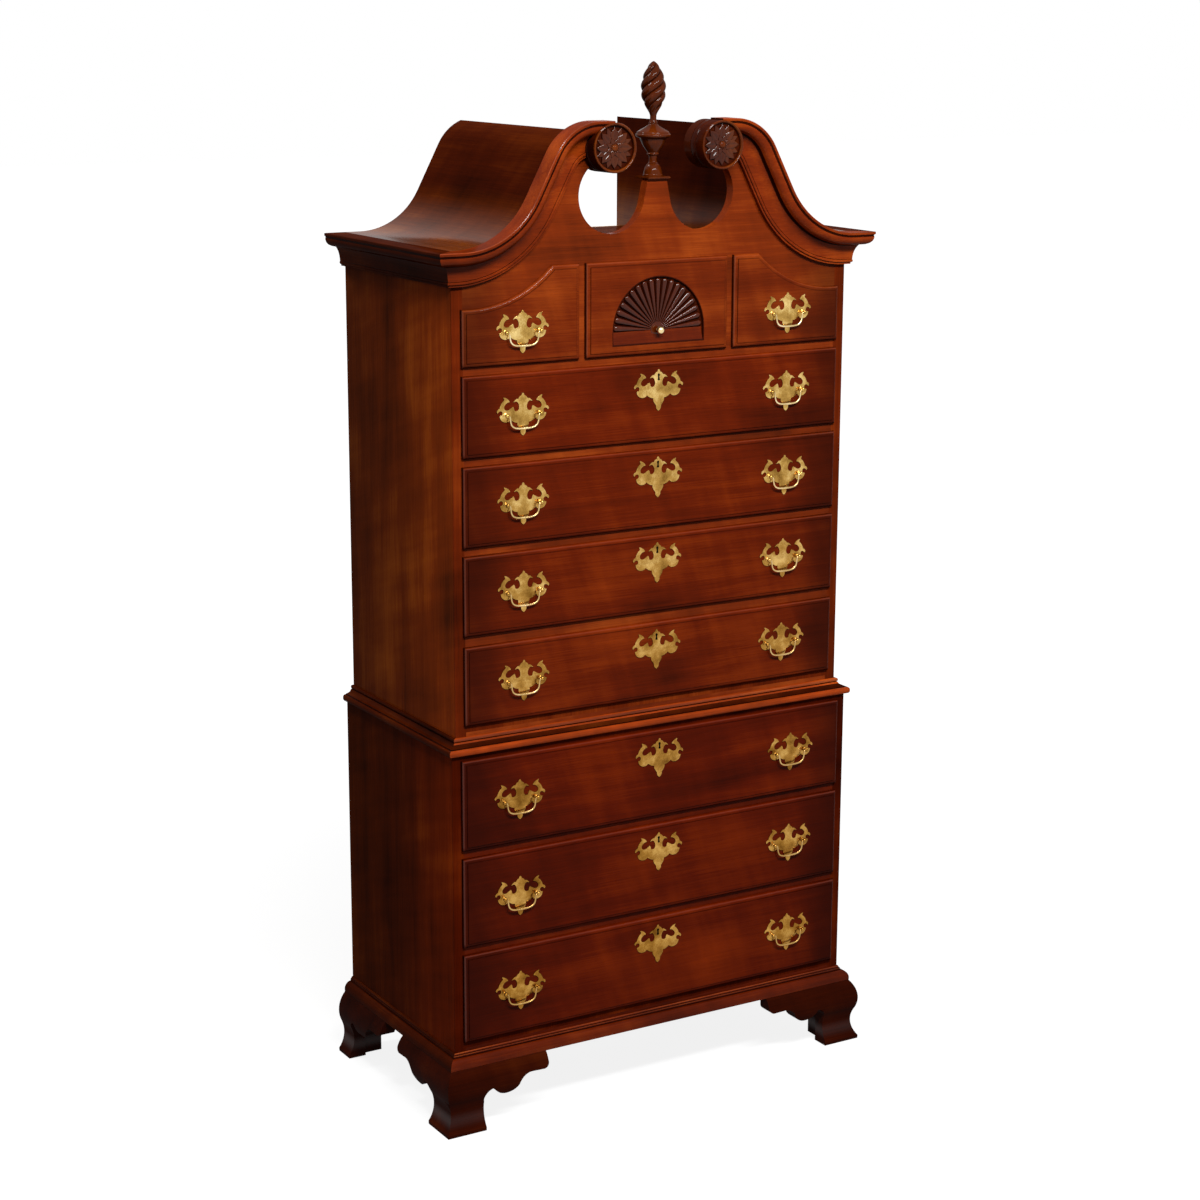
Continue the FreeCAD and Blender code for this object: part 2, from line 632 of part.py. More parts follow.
def mitre_block(name, toward_front):
    """A three-cornered block that trims the left front corner of the crown along its mitre."""
    owner = body(name)
    drawing = sketch(owner, name + "_outline", "XY", offset=CORNICE_TOP - d.crown_height - d.past)
    far = d.crown_projection + d.past * 3
    third = (-UPPER_HALF, UPPER_FRONT - far) if toward_front else (-UPPER_HALF - far, UPPER_FRONT)
    trace(drawing, [(-UPPER_HALF, UPPER_FRONT), (-UPPER_HALF - far, UPPER_FRONT - far), third])
    pad(owner, drawing, d.crown_height + d.past * 2)
    return owner


def rosette_cylinder(name, radius, front, depth):
    """A round bar through the left rosette, running front to back."""
    owner = body(name)
    drawing = sketch(owner, name + "_circle", "XZ", offset=-front - depth)
    circle(drawing, -d.rosette_centre, ROSETTE_Z, radius)
    pad(owner, drawing, depth)
    return owner


def left_swan_neck():
    owner = body("swan_neck_run")
    outer = UPPER_HALF + d.crown_projection + d.past
    path = sketch(owner, "swan_neck_path", "XZ", offset=-UPPER_FRONT)
    line = crown_line
    trace(path, [(-outer, line.flat), (-line.start, line.flat), (-line.low[0], line.low[1], line.hollow),
                 (-line.high[0], line.high[1]), (-d.scroll_centre, line.top, -line.round_over),
                 (-d.rosette_centre, line.top)], closed=False)
    profile = sketch(owner, "swan_neck_section", "YZ", offset=-outer)
    trace(profile, crown_section(UPPER_FRONT, CORNICE_TOP))
    run_along(owner, profile, path, 5)
    trimmed = cut("swan_neck_mitred", owner, mitre_block("crown_mitre", False))
    drum = rosette_cylinder("rosette_clearance", d.rosette_radius, FACE_Y - d.past, d.rosette_reach + d.past * 2)
    return cut("swan_neck_left", trimmed, drum)


def left_return():
    owner = body("cornice_return")
    profile = sketch(owner, "return_section", "XZ", offset=-BACK)
    trace(profile, crown_section(-UPPER_HALF, CORNICE_TOP))
    pad(owner, profile, UPPER_DEPTH + d.crown_projection + d.past)
    return cut("cornice_return_left", owner, mitre_block("return_mitre", True))


swan_neck = left_swan_neck()
side_cornice = left_return()
node("crown_moulding", group("crown_pieces", [swan_neck, mirror("swan_neck_right", swan_neck),
                                              side_cornice, mirror("cornice_return_right", side_cornice)]))


# ---------------------------------------------------------------------------------------------
# Pediment, bonnet, rosettes and finial
# ---------------------------------------------------------------------------------------------

ARCH_X = UPPER_INNER + d.lip_overlap - d.arch_level_end
ARCH_RUN = ARCH_X - (SMALL_INNER - d.lip_overlap + d.arch_level_top)
ARCH_RISE = d.row_opening + d.lip_overlap * 2 - d.arch_side
ARCH_RADIUS = (ARCH_RUN * ARCH_RUN + ARCH_RISE * ARCH_RISE) / (ARCH_RISE * 2)
ARCH_Z = ROW_FLOOR - d.lip_overlap + d.arch_side + ARCH_RADIUS


def arch_half_width(top, radius):
    """Where a level top edge at a height meets the hollow of a small drawer's top."""
    drop = ARCH_Z - top
    return ARCH_X - root(radius * radius - drop * drop)


def pediment_outline():
    hollow = ARCH_RADIUS + d.lip_overlap
    line = under_line
    opening = d.tympanum_radius
    centre = (d.tympanum_centre, CORNICE_TOP + d.tympanum_rise)
    tangent = (centre[0] - opening * cosine(d.neck_slope), centre[1] - opening * sine(d.neck_slope))
    neck_top = CORNICE_TOP + d.neck_rise
    neck = tangent[0] - (neck_top - tangent[1]) * sine(d.neck_slope) / cosine(d.neck_slope)
    up = Size(62.0, "62")
    return both_sides([
        (arch_half_width(ROW_TOP, hollow), ROW_TOP),
        (ARCH_X, ARCH_Z - hollow, hollow), (UPPER_INNER, ARCH_Z - hollow), (UPPER_INNER, line.flat),
        (line.start, line.flat), (line.low[0], line.low[1], -line.hollow),
        (line.high[0], line.high[1]), (d.scroll_centre, line.top, line.round_over),
        (d.rosette_centre, ROSETTE_Z),
        (centre[0] + opening * cosine(up), centre[1] + opening * sine(up)),
        (centre[0] + opening, centre[1], -opening), (centre[0], centre[1] - opening, -opening),
        (tangent[0], tangent[1], -opening), (neck, neck_top)])


def pediment():
    """Board behind the crown, with two round openings, the plinth between them and a round boss
    at each scroll's end."""
    board = body("pediment_main")
    drawing = sketch(board, "pediment_outline", "XZ", offset=-UPPER_FRONT)
    trace(drawing, pediment_outline())
    pad(board, drawing, d.pediment_board, backwards=True)
    boss = rosette_cylinder("scroll_end", d.rosette_radius, UPPER_FRONT, d.pediment_board)
    return fuse("pediment", [board, boss, mirror("scroll_end_right", boss)])


node("pediment_board", pediment())


def bonnet_half():
    """Left half of the bonnet: curved roof, upright inner wall and a board closing the back."""
    inner = d.bonnet_gap / 2
    roof = body("roof")
    drawing = sketch(roof, "roof_outline", "XZ", offset=-BACK)
    out, under = roof_line, under_line
    trace(drawing, [
        (-UPPER_HALF, under.flat), (-under.start, under.flat),
        (-under.low[0], under.low[1], under.hollow), (-under.high[0], under.high[1]),
        (-inner, under.height_on_round(inner), -under.round_over),
        (-inner, out.height_on_round(inner)), (-out.high[0], out.high[1], out.round_over),
        (-out.low[0], out.low[1]), (-out.start, out.flat, -out.hollow), (-UPPER_HALF, out.flat)])
    pad(roof, drawing, UPPER_DEPTH)
    wall_outer = inner + d.roof_board
    wall = body("inner_wall")
    drawing = sketch(wall, "wall_outline", "XZ", offset=-BACK)
    trace(drawing, [(-wall_outer, DECK_TOP), (-inner, DECK_TOP), (-inner, under.height_on_round(inner)),
                    (-wall_outer, under.height_on_round(wall_outer), under.round_over)])
    pad(wall, drawing, UPPER_DEPTH - d.pediment_board)
    closing = body("bonnet_back")
    drawing = sketch(closing, "bonnet_back_outline", "XZ", offset=-BACK)
    trace(drawing, [
        (-UPPER_INNER, DECK_TOP), (-wall_outer, DECK_TOP),
        (-wall_outer, under.height_on_round(wall_outer)),
        (-under.high[0], under.high[1], under.round_over), (-under.low[0], under.low[1]),
        (-under.start, under.flat, -under.hollow), (-UPPER_INNER, under.flat)])
    pad(closing, drawing, d.back_board)
    return [roof, wall, closing]


left_half = bonnet_half()
node("bonnet", group("bonnet_boards",
                     left_half + [mirror(board.Name + "_right", board) for board in left_half]))


def rosette():
    """Round drum with a raised rim round a many-sided dish and a button in the middle."""
    depth = d.rosette_reach
    drum = rosette_cylinder("rosette_drum", d.rosette_radius, FACE_Y, depth)
    dish = disc("rosette_dish", 24, d.rosette_radius - d.rosette_rim, FACE_Y, d.rosette_dish)
    button = disc("rosette_button", 12, d.rosette_middle, FACE_Y + d.rosette_button,
                  d.rosette_dish - d.rosette_button)
    return cut("rosette", drum, cut("rosette_hollow", dish, button))


def disc(name, count, radius, front, depth):
    """A many-sided disc on the left rosette's axis."""
    owner = body(name)
    drawing = sketch(owner, name + "_outline", "XZ", offset=-front - depth, shift=-d.rosette_centre,
                     rise=ROSETTE_Z)
    pad(owner, regular(drawing, count, radius), depth)
    return owner


left_rosette = rosette()
node("rosettes", group("both_rosettes", [left_rosette, mirror("right_rosette", left_rosette)]))

FINIAL_Y = UPPER_FRONT + d.cap_setback
CAP_BOTTOM = CORNICE_TOP + d.neck_rise


# Urn and flame from the foot up: shares of the rim's radius and of the height.
FINIAL_OUTLINE = [
    (0.6, 0), (0.375, 0.09), (0.25, 0.143), (0.25, 0.175), (0.34, 0.195), (0.49, 0.225), (0.745, 0.31),
    (1, 0.348), (1, 0.367), (0.65, 0.408), (0.19, 0.46), (0.19, 0.528), (0.375, 0.58), (0.63, 0.655),
    (0.72, 0.755), (0.54, 0.853), (0.27, 0.93), (0.04, 1)]
FINIAL_TURNS = 6


def finial():
    """Urn with a flame on top, standing on a thin square cap.  Slabs of one outline cross each other
    round the axis, and what they share has flat sides all round."""
    half = d.cap_width / 2
    cap = box("plinth_cap", (-half, half), (FINIAL_Y - half, FINIAL_Y + half),
              (CAP_BOTTOM, CAP_BOTTOM + d.cap_height))
    slab = body("finial_slab")
    drawing = sketch(slab, "finial_outline", "XZ", offset=-d.finial_radius * 1.2)
    right = within(d.finial_radius, d.finial_height, FINIAL_OUTLINE)
    trace(drawing, both_sides(right))
    pad(slab, drawing, d.finial_radius * 2.4)
    slabs = []
    for step in range(FINIAL_TURNS):
        turned = group(f"finial_slab_{step}", [slab])
        angle = 180 * step / FINIAL_TURNS
        turned.Placement = FreeCAD.Placement(V(0, 0, 0), FreeCAD.Rotation(V(0, 0, 1), angle))
        slabs.append(turned)
    urn = doc.addObject("Part::MultiCommon", "finial_urn")
    urn.Shapes = slabs
    standing = copy_at("standing_urn", urn, 0, FINIAL_Y, CAP_BOTTOM + d.cap_height)
    return group("finial_pieces", [cap, standing])


node("finial", finial())


# ---------------------------------------------------------------------------------------------
# Brasses
# ---------------------------------------------------------------------------------------------

def plate_outline():
    """Bat-wing plate drawn down from its crest: leaf, hollow with a spur, wing, hook, cheek and tail."""
    wide, high = d.plate_width / 2, d.plate_height
    return both_sides([(wide * across, high * down) for across, down in [
        (0, 0), (0.37, -0.211), (0.152, -0.285), (0.225, -0.416), (0.363, -0.315), (0.588, -0.38),
        (0.709, -0.297), (0.513, -0.192), (0.747, -0.07), (1, -0.409), (0.795, -0.422), (0.873, -0.57),
        (0.664, -0.661), (0.233, -0.689), (0.104, -0.862), (0, -1)]])


def flat_brass(name, keyhole=False):
    owner = body(name)
    drawing = sketch(owner, name + "_outline", "XZ")
    trace(drawing, plate_outline())
    pad(owner, drawing, d.plate_thickness)
    if keyhole:
        hole = sketch(owner, name + "_keyhole", "XZ")
        wide, high = d.plate_width, d.plate_height
        trace(hole, both_sides([(wide * 0.017, high * -0.26), (wide * 0.01, high * -0.2),
                                (wide * 0.016, high * -0.115)]))
        pocket(owner, hole, d.plate_thickness, backwards=True)
    return owner


def many_sided(name, count, radius, length):
    """A bar with a many-sided section whose corners lie on a radius."""
    bar = doc.addObject("Part::Prism", name)
    bar.Polygon = count
    return bind(bar, Circumradius=radius, Height=length)


def post():
    """Right post of a pull, bored from its inner side for the bail's end."""
    stem = many_sided("post_stem", 6, d.post_radius, d.post_reach + d.post_head - d.plate_thickness)
    stem.Placement = FreeCAD.Placement(V(0, 0, 0), FreeCAD.Rotation(V(1, 0, 0), 90))
    bind(stem, Placement_Base_x=d.post_spacing / 2, Placement_Base_y=-d.plate_thickness)
    bore = many_sided("post_bore", 6, (d.bail_wire + d.bail_play) / math.cos(math.radians(30)), d.bail_grip)
    bore.Placement = FreeCAD.Placement(V(0, 0, 0), FreeCAD.Rotation(V(0, 1, 0), 90))
    bind(bore, Placement_Base_x=d.post_spacing / 2 - d.post_radius, Placement_Base_y=-d.post_reach)
    return cut("post", stem, bore)


def bail():
    """Drop handle of six-sided wire, hanging from its axis at the origin."""
    owner = body("bail_run")
    path = sketch(owner, "bail_path", "XZ")
    pin = d.post_spacing / 2 - d.post_radius + d.bail_grip - d.bail_end_play
    arm = d.bail_half
    low = -d.bail_drop
    half = [(arm - 12, low), (arm, low + 12), (arm, 0), (pin, 0)]
    left = [(-size(x), z) for x, z in half[::-1]]
    trace(path, left + half, closed=False)
    profile = sketch(owner, "bail_section", "YZ", offset=-pin)
    regular(profile, 6, d.bail_wire)
    run_along(owner, profile, path, len(left + half) - 1)
    return owner


def knob():
    """Small knob: a short stem and a head with both ends bevelled all round."""
    head = body("knob_head")
    drawing = sketch(head, "knob_outline", "XZ", offset=d.knob_reach - d.knob_radius * 1.6)
    ball = pad(head, regular(drawing, 12, d.knob_radius), d.knob_radius * 1.6)
    doc.recompute()
    ends = [ball.Shape.BoundBox.YMin, ball.Shape.BoundBox.YMax]
    bevel = head.newObject("PartDesign::Chamfer", "knob_bevel")
    bevel.Base = (ball, edges_round(ball, ends[0]) + edges_round(ball, ends[1]))
    bind(bevel, Size=d.knob_radius * 0.5)
    stem = body("knob_stem")
    drawing = sketch(stem, "knob_stem_outline", "XZ")
    pad(stem, regular(drawing, 8, d.knob_radius * 0.42), d.knob_reach - d.knob_radius * 1.6)
    return fuse("knob", [head, stem])


pull_plate = flat_brass("pull_plate")
place(pull_plate, 0, 0, d.plate_height / 2)
key_plate = flat_brass("key_plate", keyhole=True)
right_post = post()
pull_brass = group("pull_brass", [pull_plate, right_post, mirror("left_post", right_post)])
bail_pattern = bail()


# ---------------------------------------------------------------------------------------------
# Drawers
# ---------------------------------------------------------------------------------------------

def rectangle(left, right, low, high):
    return [(left, low), (right, low), (right, high), (left, high)]


def arched(inner, outer, low, top, radius, side, chords=0):
    """A small drawer's shape: level top at the inner end, hollow down to a short level outer end.  The
    hollow is an arc, or a row of chords of that arc."""
    shape = [(inner, low), (outer, low), (outer, ARCH_Z - radius), (ARCH_X, ARCH_Z - radius)]
    end = arch_half_width(top, radius)
    for step in range(1, chords):
        reach = (ARCH_X - end) * (step / chords)
        shape.append((ARCH_X - reach, ARCH_Z - root(radius * radius - reach * reach)))
    shape += [(end, top) if chords else (end, top, -radius), (inner, top)]
    if side > 0:
        return shape
    return [(-x[0], x[1]) + ((-x[2],) if len(x) > 2 else ()) for x in shape]


def edges_round(thing, depth):
    """Names of the edges round the largest face that looks towards -Y at a depth."""
    faces = [face for face in thing.Shape.Faces if isinstance(face.Surface, Part.Plane)
             and abs(face.BoundBox.YMin - depth) < 1e-6 and abs(face.BoundBox.YMax - depth) < 1e-6]
    outer = max(faces, key=lambda face: face.BoundBox.DiagonalLength).OuterWire
    return [f"Edge{number}" for number, edge in enumerate(thing.Shape.Edges, start=1)
            if any(edge.isSame(side) for side in outer.Edges)]


def drawer_front(name, front, lip, field, block):
    """Board with a lipped thumbnail edge, a raised field and a block that enters the opening."""
    owner = body(name)
    drawing = sketch(owner, name + "_lip", "XZ", offset=-front)
    pad(owner, trace(drawing, lip), d.lip_plate)
    drawing = sketch(owner, name + "_field", "XZ", offset=-front + d.lip_plate)
    pad(owner, trace(drawing, field), d.field_step)
    drawing = sketch(owner, name + "_block", "XZ", offset=-front)
    board = pad(owner, trace(drawing, block), d.front_block, backwards=True)
    doc.recompute()
    rounded = owner.newObject("PartDesign::Fillet", name + "_thumbnail")
    rounded.Base = (board, edges_round(board, (front - d.lip_plate).value))
    bind(rounded, Radius=d.lip_round)
    return owner


def carve_fan(owner, front):
    """Recess of the fan: a half circle over a low plain strip."""
    centre = ROW_FLOOR - d.lip_overlap + d.fan_rise
    radius = d.fan_radius
    drawing = sketch(owner, "fan_recess", "XZ", offset=-front + PROUD)
    trace(drawing, [(-radius, centre - d.fan_base), (radius, centre - d.fan_base), (radius, centre),
                    (0, centre + radius, radius), (-radius, centre, radius)])
    pocket(owner, drawing, d.fan_depth)


def drawer_box(name, left, right, low, height, front):
    """Two sides, a back and a bottom let in between them, behind the drawer front."""
    near = front + d.front_block
    far = BACK_INNER - d.drawer_stop
    side = d.drawer_side
    top = low + height
    floor = low + d.floor_lift
    boards = [box(name + "_left", (left, left + side), (near, far), (low, top)),
              box(name + "_right", (right - side, right), (near, far), (low, top)),
              box(name + "_back", (left + side, right - side), (far - side, far), (floor, top)),
              box(name + "_bottom", (left + side, right - side), (near, far - side),
                  (floor, floor + d.drawer_floor))]
    return node(name, group(name + "_boards", boards))


def pulls(name, places, face, key=None):
    """Plates and posts at the given places, and an escutcheon where there is a keyhole."""
    pieces = []
    for number, (x, z) in enumerate(places):
        pieces.append(copy_at(f"{name}_pull_{number}", pull_brass, x, face, z))
    if key is not None:
        pieces.append(copy_at(f"{name}_escutcheon", key_plate, 0, face, key))
    return node(f"{name}_brasses", group(f"{name}_brass_set", pieces))


def bail_node(name, x, face, z):
    return node(name, copy_at(name + "_hung", bail_pattern, x, face - d.post_reach, z))


def long_drawer(name, inner, front, level, opening, pull_inset, pull_rise, key_rise):
    over, play = d.lip_overlap, d.drawer_play
    reach = inner + over
    low, high = level - over, level + opening + over
    margin = d.lip_margin
    node(f"{name}_front", drawer_front(
        f"{name}_board", front, rectangle(-reach, reach, low, high),
        rectangle(-reach + margin, reach - margin, low + margin, high - margin),
        rectangle(-inner + play, inner - play, level + play, level + opening - play)))
    drawer_box(f"{name}_box", -inner + play, inner - play, level + play, opening - d.box_relief, front)
    face = front - PROUD
    across = reach - pull_inset
    rise = low + pull_rise
    pulls(name, [(-across, rise), (across, rise)], face, low + key_rise)
    bail_node(f"{name}_left_bail", -across, face, rise)
    bail_node(f"{name}_right_bail", across, face, rise)


def small_drawer(name, side):
    over, play, margin = d.lip_overlap, d.drawer_play, d.lip_margin
    inner, outer = SMALL_INNER, UPPER_INNER
    low = ROW_FLOOR - over
    radius = ARCH_RADIUS
    lip = arched(inner - over, outer + over, low, ROW_TOP + over, radius, side, chords=8)
    field = arched(inner - over + margin, outer + over - margin, low + margin, ROW_TOP + over - margin,
                   radius + margin, side)
    block = arched(inner + play, outer - play, ROW_FLOOR + play, ROW_TOP - play, radius + over + play, side)
    node(f"{name}_front", drawer_front(f"{name}_board", UPPER_FRONT, lip, field, block))
    ends = (inner + play, outer - play) if side > 0 else (play - outer, -play - inner)
    height = d.arch_side - over * 2 - d.box_relief
    drawer_box(f"{name}_box", ends[0], ends[1], ROW_FLOOR + play, height, UPPER_FRONT)
    face = UPPER_FRONT - PROUD
    across = (outer + over - d.pull_inset_upper) * side
    rise = low + d.pull_rise_small
    pulls(name, [(across, rise)], face)
    bail_node(f"{name}_bail", across, face, rise)


def fan_drawer():
    over, play, margin = d.lip_overlap, d.drawer_play, d.lip_margin
    half = FAN_SIDE
    low, high = ROW_FLOOR - over, ROW_TOP + over
    owner = drawer_front(
        "fan_board", UPPER_FRONT, rectangle(-half - over, half + over, low, high),
        rectangle(-half - over + margin, half + over - margin, low + margin, high - margin),
        rectangle(-half + play, half - play, ROW_FLOOR + play, ROW_TOP - play))
    carve_fan(owner, UPPER_FRONT)
    node("fan_drawer_front", owner)
    drawer_box("fan_drawer_box", -half + play, half - play, ROW_FLOOR + play,
               d.row_opening - d.box_relief, UPPER_FRONT)
    seat = UPPER_FRONT - PROUD + d.fan_depth
    node("fan_drawer_knob", copy_at("fan_knob", knob(), 0, seat, low + d.fan_rise))


for number, level in enumerate(lower_levels):
    names = ("lower_bottom_drawer", "lower_middle_drawer", "lower_top_drawer")
    long_drawer(names[number], LOWER_INNER, LOWER_FRONT, level, d.lower_opening, d.pull_inset_lower,
                d.pull_rise_lower, d.key_rise_lower)
for number, level in enumerate(upper_levels[:4]):
    long_drawer(f"upper_drawer_{number + 1}", UPPER_INNER, UPPER_FRONT, level, d.upper_opening,
                d.pull_inset_upper, d.pull_rise_upper, d.key_rise_upper)
small_drawer("left_small_drawer", -1)
small_drawer("right_small_drawer", 1)
fan_drawer()


# ---------------------------------------------------------------------------------------------
# Check and export
# ---------------------------------------------------------------------------------------------

doc.recompute()
for thing in doc.Objects:
    if "Invalid" in thing.State or "Error" in thing.State:
        raise RuntimeError(f"{thing.Name} ({thing.Label}) failed: {thing.State}")
for name, thing in nodes.items():
    if thing.Shape.isNull() or not thing.Shape.isValid():
        raise RuntimeError(f"{name} has no valid shape")

os.makedirs("parts", exist_ok=True)
for name, thing in nodes.items():
    thing.Shape.exportStep(f"parts/{name}.step")
print(f"{len(nodes)} sub-parts written")
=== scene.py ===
import json
import math

import bmesh
import bpy
from mathutils import Matrix, Vector

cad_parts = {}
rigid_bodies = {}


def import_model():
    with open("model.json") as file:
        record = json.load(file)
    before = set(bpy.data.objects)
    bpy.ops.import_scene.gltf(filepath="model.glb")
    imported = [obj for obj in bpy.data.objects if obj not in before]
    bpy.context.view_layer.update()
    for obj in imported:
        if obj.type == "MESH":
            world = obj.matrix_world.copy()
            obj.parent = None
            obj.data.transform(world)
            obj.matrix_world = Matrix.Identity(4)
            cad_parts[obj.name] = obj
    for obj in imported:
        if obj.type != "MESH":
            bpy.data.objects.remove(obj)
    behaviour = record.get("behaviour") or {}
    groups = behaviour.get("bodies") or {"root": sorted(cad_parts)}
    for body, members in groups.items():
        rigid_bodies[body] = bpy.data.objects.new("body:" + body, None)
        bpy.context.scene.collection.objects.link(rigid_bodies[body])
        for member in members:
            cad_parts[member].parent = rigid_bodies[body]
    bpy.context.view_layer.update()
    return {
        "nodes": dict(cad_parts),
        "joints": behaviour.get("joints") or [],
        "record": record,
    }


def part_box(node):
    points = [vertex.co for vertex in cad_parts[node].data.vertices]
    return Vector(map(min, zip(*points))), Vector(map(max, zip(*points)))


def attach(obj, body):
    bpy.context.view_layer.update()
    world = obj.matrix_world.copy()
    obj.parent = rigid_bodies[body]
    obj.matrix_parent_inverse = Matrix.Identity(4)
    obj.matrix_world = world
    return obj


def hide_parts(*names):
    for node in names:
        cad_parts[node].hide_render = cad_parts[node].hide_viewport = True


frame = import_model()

# Tall bonnet-top chest-on-chest in red-brown stained cherry with bat-wing brasses.  Metres, +Z up,
# the drawers face -Y.

nodes = frame["nodes"]

# ------------------------------------------------------------
# The view: a long lens stands to the left of the front, a little above the middle of the chest, so that
# its upright edges stay close to upright.
# ------------------------------------------------------------

camera_place = Vector((-2.6687, -4.4672, 2.2436))
camera_right = Vector((0.85876, -0.51238, 0.00334))
camera_up = Vector((0.11540, 0.19975, 0.97303))
camera_back = camera_right.cross(camera_up)
sensor_width = 36.0
focal_length = 75.64
sideways_shift = -0.0019


def add_object(name, data):
    """An object of the scene that shows a mesh, a curve, a lamp or a lens."""
    made = bpy.data.objects.new(name, data)
    bpy.context.scene.collection.objects.link(made)
    return made


lens = bpy.data.cameras.new("camera")
lens.sensor_width = sensor_width
lens.lens = focal_length
lens.shift_x = sideways_shift
camera = add_object("camera", lens)
camera_turn = Matrix((camera_right, camera_up, camera_back)).transposed()
camera.matrix_world = Matrix.Translation(camera_place) @ camera_turn.to_4x4()
bpy.context.scene.camera = camera
bpy.context.scene.view_settings.view_transform = "Standard"

# ------------------------------------------------------------
# The studio: a pale floor runs out to a pale background.  A long soft box lights the front from above,
# a weak one the left side, one the roof, and one puts a rim of light on the edges from behind.
# ------------------------------------------------------------


class Signal:
    """The value of one shader socket, with the sums that a finish needs."""

    def __init__(self, finish, socket):
        self.finish = finish
        self.socket = socket

    def math(self, operation, *others, clamp=False):
        values = dict(enumerate((self,) + others))
        return self.finish.node("ShaderNodeMath", {"operation": operation, "use_clamp": clamp}, values)

    def __add__(self, other):
        return self.math("ADD", other)

    def __sub__(self, other):
        return self.math("SUBTRACT", other)

    def __mul__(self, other):
        return self.math("MULTIPLY", other)

    def __rsub__(self, other):
        return self.math("MULTIPLY_ADD", -1.0, other)

    __radd__ = __add__
    __rmul__ = __mul__

    def fade(self, low, high):
        """0 where the value is at low, 1 where it is at high, smooth between."""
        return self.finish.node("ShaderNodeMapRange", {"interpolation_type": "SMOOTHSTEP"},
                                {"Value": self, "From Min": low, "From Max": high})


class Finish:
    """One material and its nodes."""

    def __init__(self, name):
        self.material = bpy.data.materials.new(name)
        self.material.use_nodes = True
        self.tree = self.material.node_tree
        self.tree.nodes.clear()

    def node(self, kind, settings, values, output=0):
        made = self.tree.nodes.new(kind)
        for name, value in settings.items():
            if name == "stops":
                ramp = made.color_ramp.elements
                while len(ramp) < len(value):
                    ramp.new(0.5)
                for stop, (place, colour) in zip(ramp, value):
                    stop.position = place
                    stop.color = (*colour, 1)
            else:
                setattr(made, name, value)
        for name, value in values.items():
            if isinstance(value, Signal):
                self.tree.links.new(value.socket, made.inputs[name])
            else:
                made.inputs[name].default_value = value
        return Signal(self, made.outputs[output]) if made.outputs else None

    def place(self):
        """The object's own x, y and z."""
        here = self.node("ShaderNodeTexCoord", {}, {}, "Object")
        return [self.node("ShaderNodeSeparateXYZ", {}, {"Vector": here}, axis) for axis in "XYZ"]

    def noise(self, across, up, deep, detail=2.0, roughness=0.5, distortion=0.0):
        where = self.node("ShaderNodeCombineXYZ", {}, {"X": across, "Y": up, "Z": deep})
        return self.node("ShaderNodeTexNoise", {}, {"Vector": where, "Scale": 1.0, "Detail": detail,
                                                    "Roughness": roughness, "Distortion": distortion})

    def mix(self, share, first, second, blend="MIX"):
        return self.node("ShaderNodeMix", {"data_type": "RGBA", "blend_type": blend},
                         {0: share, 6: first, 7: second}, 2)

    def ramp(self, share, *stops):
        return self.node("ShaderNodeValToRGB", {"stops": stops}, {"Fac": share})

    def bump(self, height, depth):
        return self.node("ShaderNodeBump", {}, {"Height": height, "Distance": depth, "Strength": 1.0})

    def surface(self, **values):
        sockets = {name.replace("_", " "): value for name, value in values.items()}
        return self.node("ShaderNodeBsdfPrincipled", {}, sockets)

    def done(self, shader):
        self.node("ShaderNodeOutputMaterial", {}, {"Surface": shader})
        return self.material


def join_mesh(name, build):
    """Runs build on a fresh bmesh and returns the object."""
    mesh = bpy.data.meshes.new(name)
    shape = bmesh.new()
    build(shape)
    shape.to_mesh(mesh)
    shape.free()
    return add_object(name, mesh)


def seen_straight(finish):
    """1 on the rays that look, mirror or pass through, and 0 on those that light other things."""
    rays = [finish.node("ShaderNodeLightPath", {}, {}, kind)
            for kind in ("Is Camera Ray", "Is Glossy Ray", "Is Transmission Ray")]
    return (rays[0] + rays[1] + rays[2]).math("MINIMUM", 1.0)


floor_reach = 30.0
near_distance, far_distance = 0.8, 3.5
near_glow, far_glow = 0.86, 1.0

paper = Finish("studio_floor")
seen = seen_straight(paper)
paint = paper.node("ShaderNodeBsdfDiffuse", {}, {"Color": (0.22, 0.22, 0.22, 1)})
east, north = paper.place()[:2]
distance = (east * east + north * north).math("SQRT")
strength = seen * (distance.fade(near_distance, far_distance) * (far_glow - near_glow) + near_glow)
glow = paper.node("ShaderNodeEmission", {}, {"Color": (1, 1, 1, 1), "Strength": strength})
floor_finish = paper.done(paper.node("ShaderNodeAddShader", {}, {0: paint, 1: glow}))


def lay_floor(shape):
    bmesh.ops.create_grid(shape, x_segments=1, y_segments=1, size=floor_reach)


floor = join_mesh("floor", lay_floor)
floor.data.materials.append(floor_finish)

room_fill = 0.26
room = bpy.data.worlds.new("room")
bpy.context.scene.world = room
room.use_nodes = True
sky = Finish("sky")
sky.tree = room.node_tree
sky.tree.nodes.clear()
strength = seen_straight(sky) * (1 - room_fill) + room_fill
background = sky.node("ShaderNodeBackground", {}, {"Color": (1, 1, 1, 1), "Strength": strength})
sky.node("ShaderNodeOutputWorld", {}, {"Surface": background})


def lamp(name, place, aim, wide, high, power):
    """A rectangular soft box."""
    light = bpy.data.lights.new(name, "AREA")
    light.shape = "RECTANGLE"
    light.size, light.size_y = wide, high
    light.energy = power
    box = add_object(name, light)
    box.location = place
    box.rotation_euler = (Vector(aim) - Vector(place)).to_track_quat("-Z", "Y").to_euler()
    return box


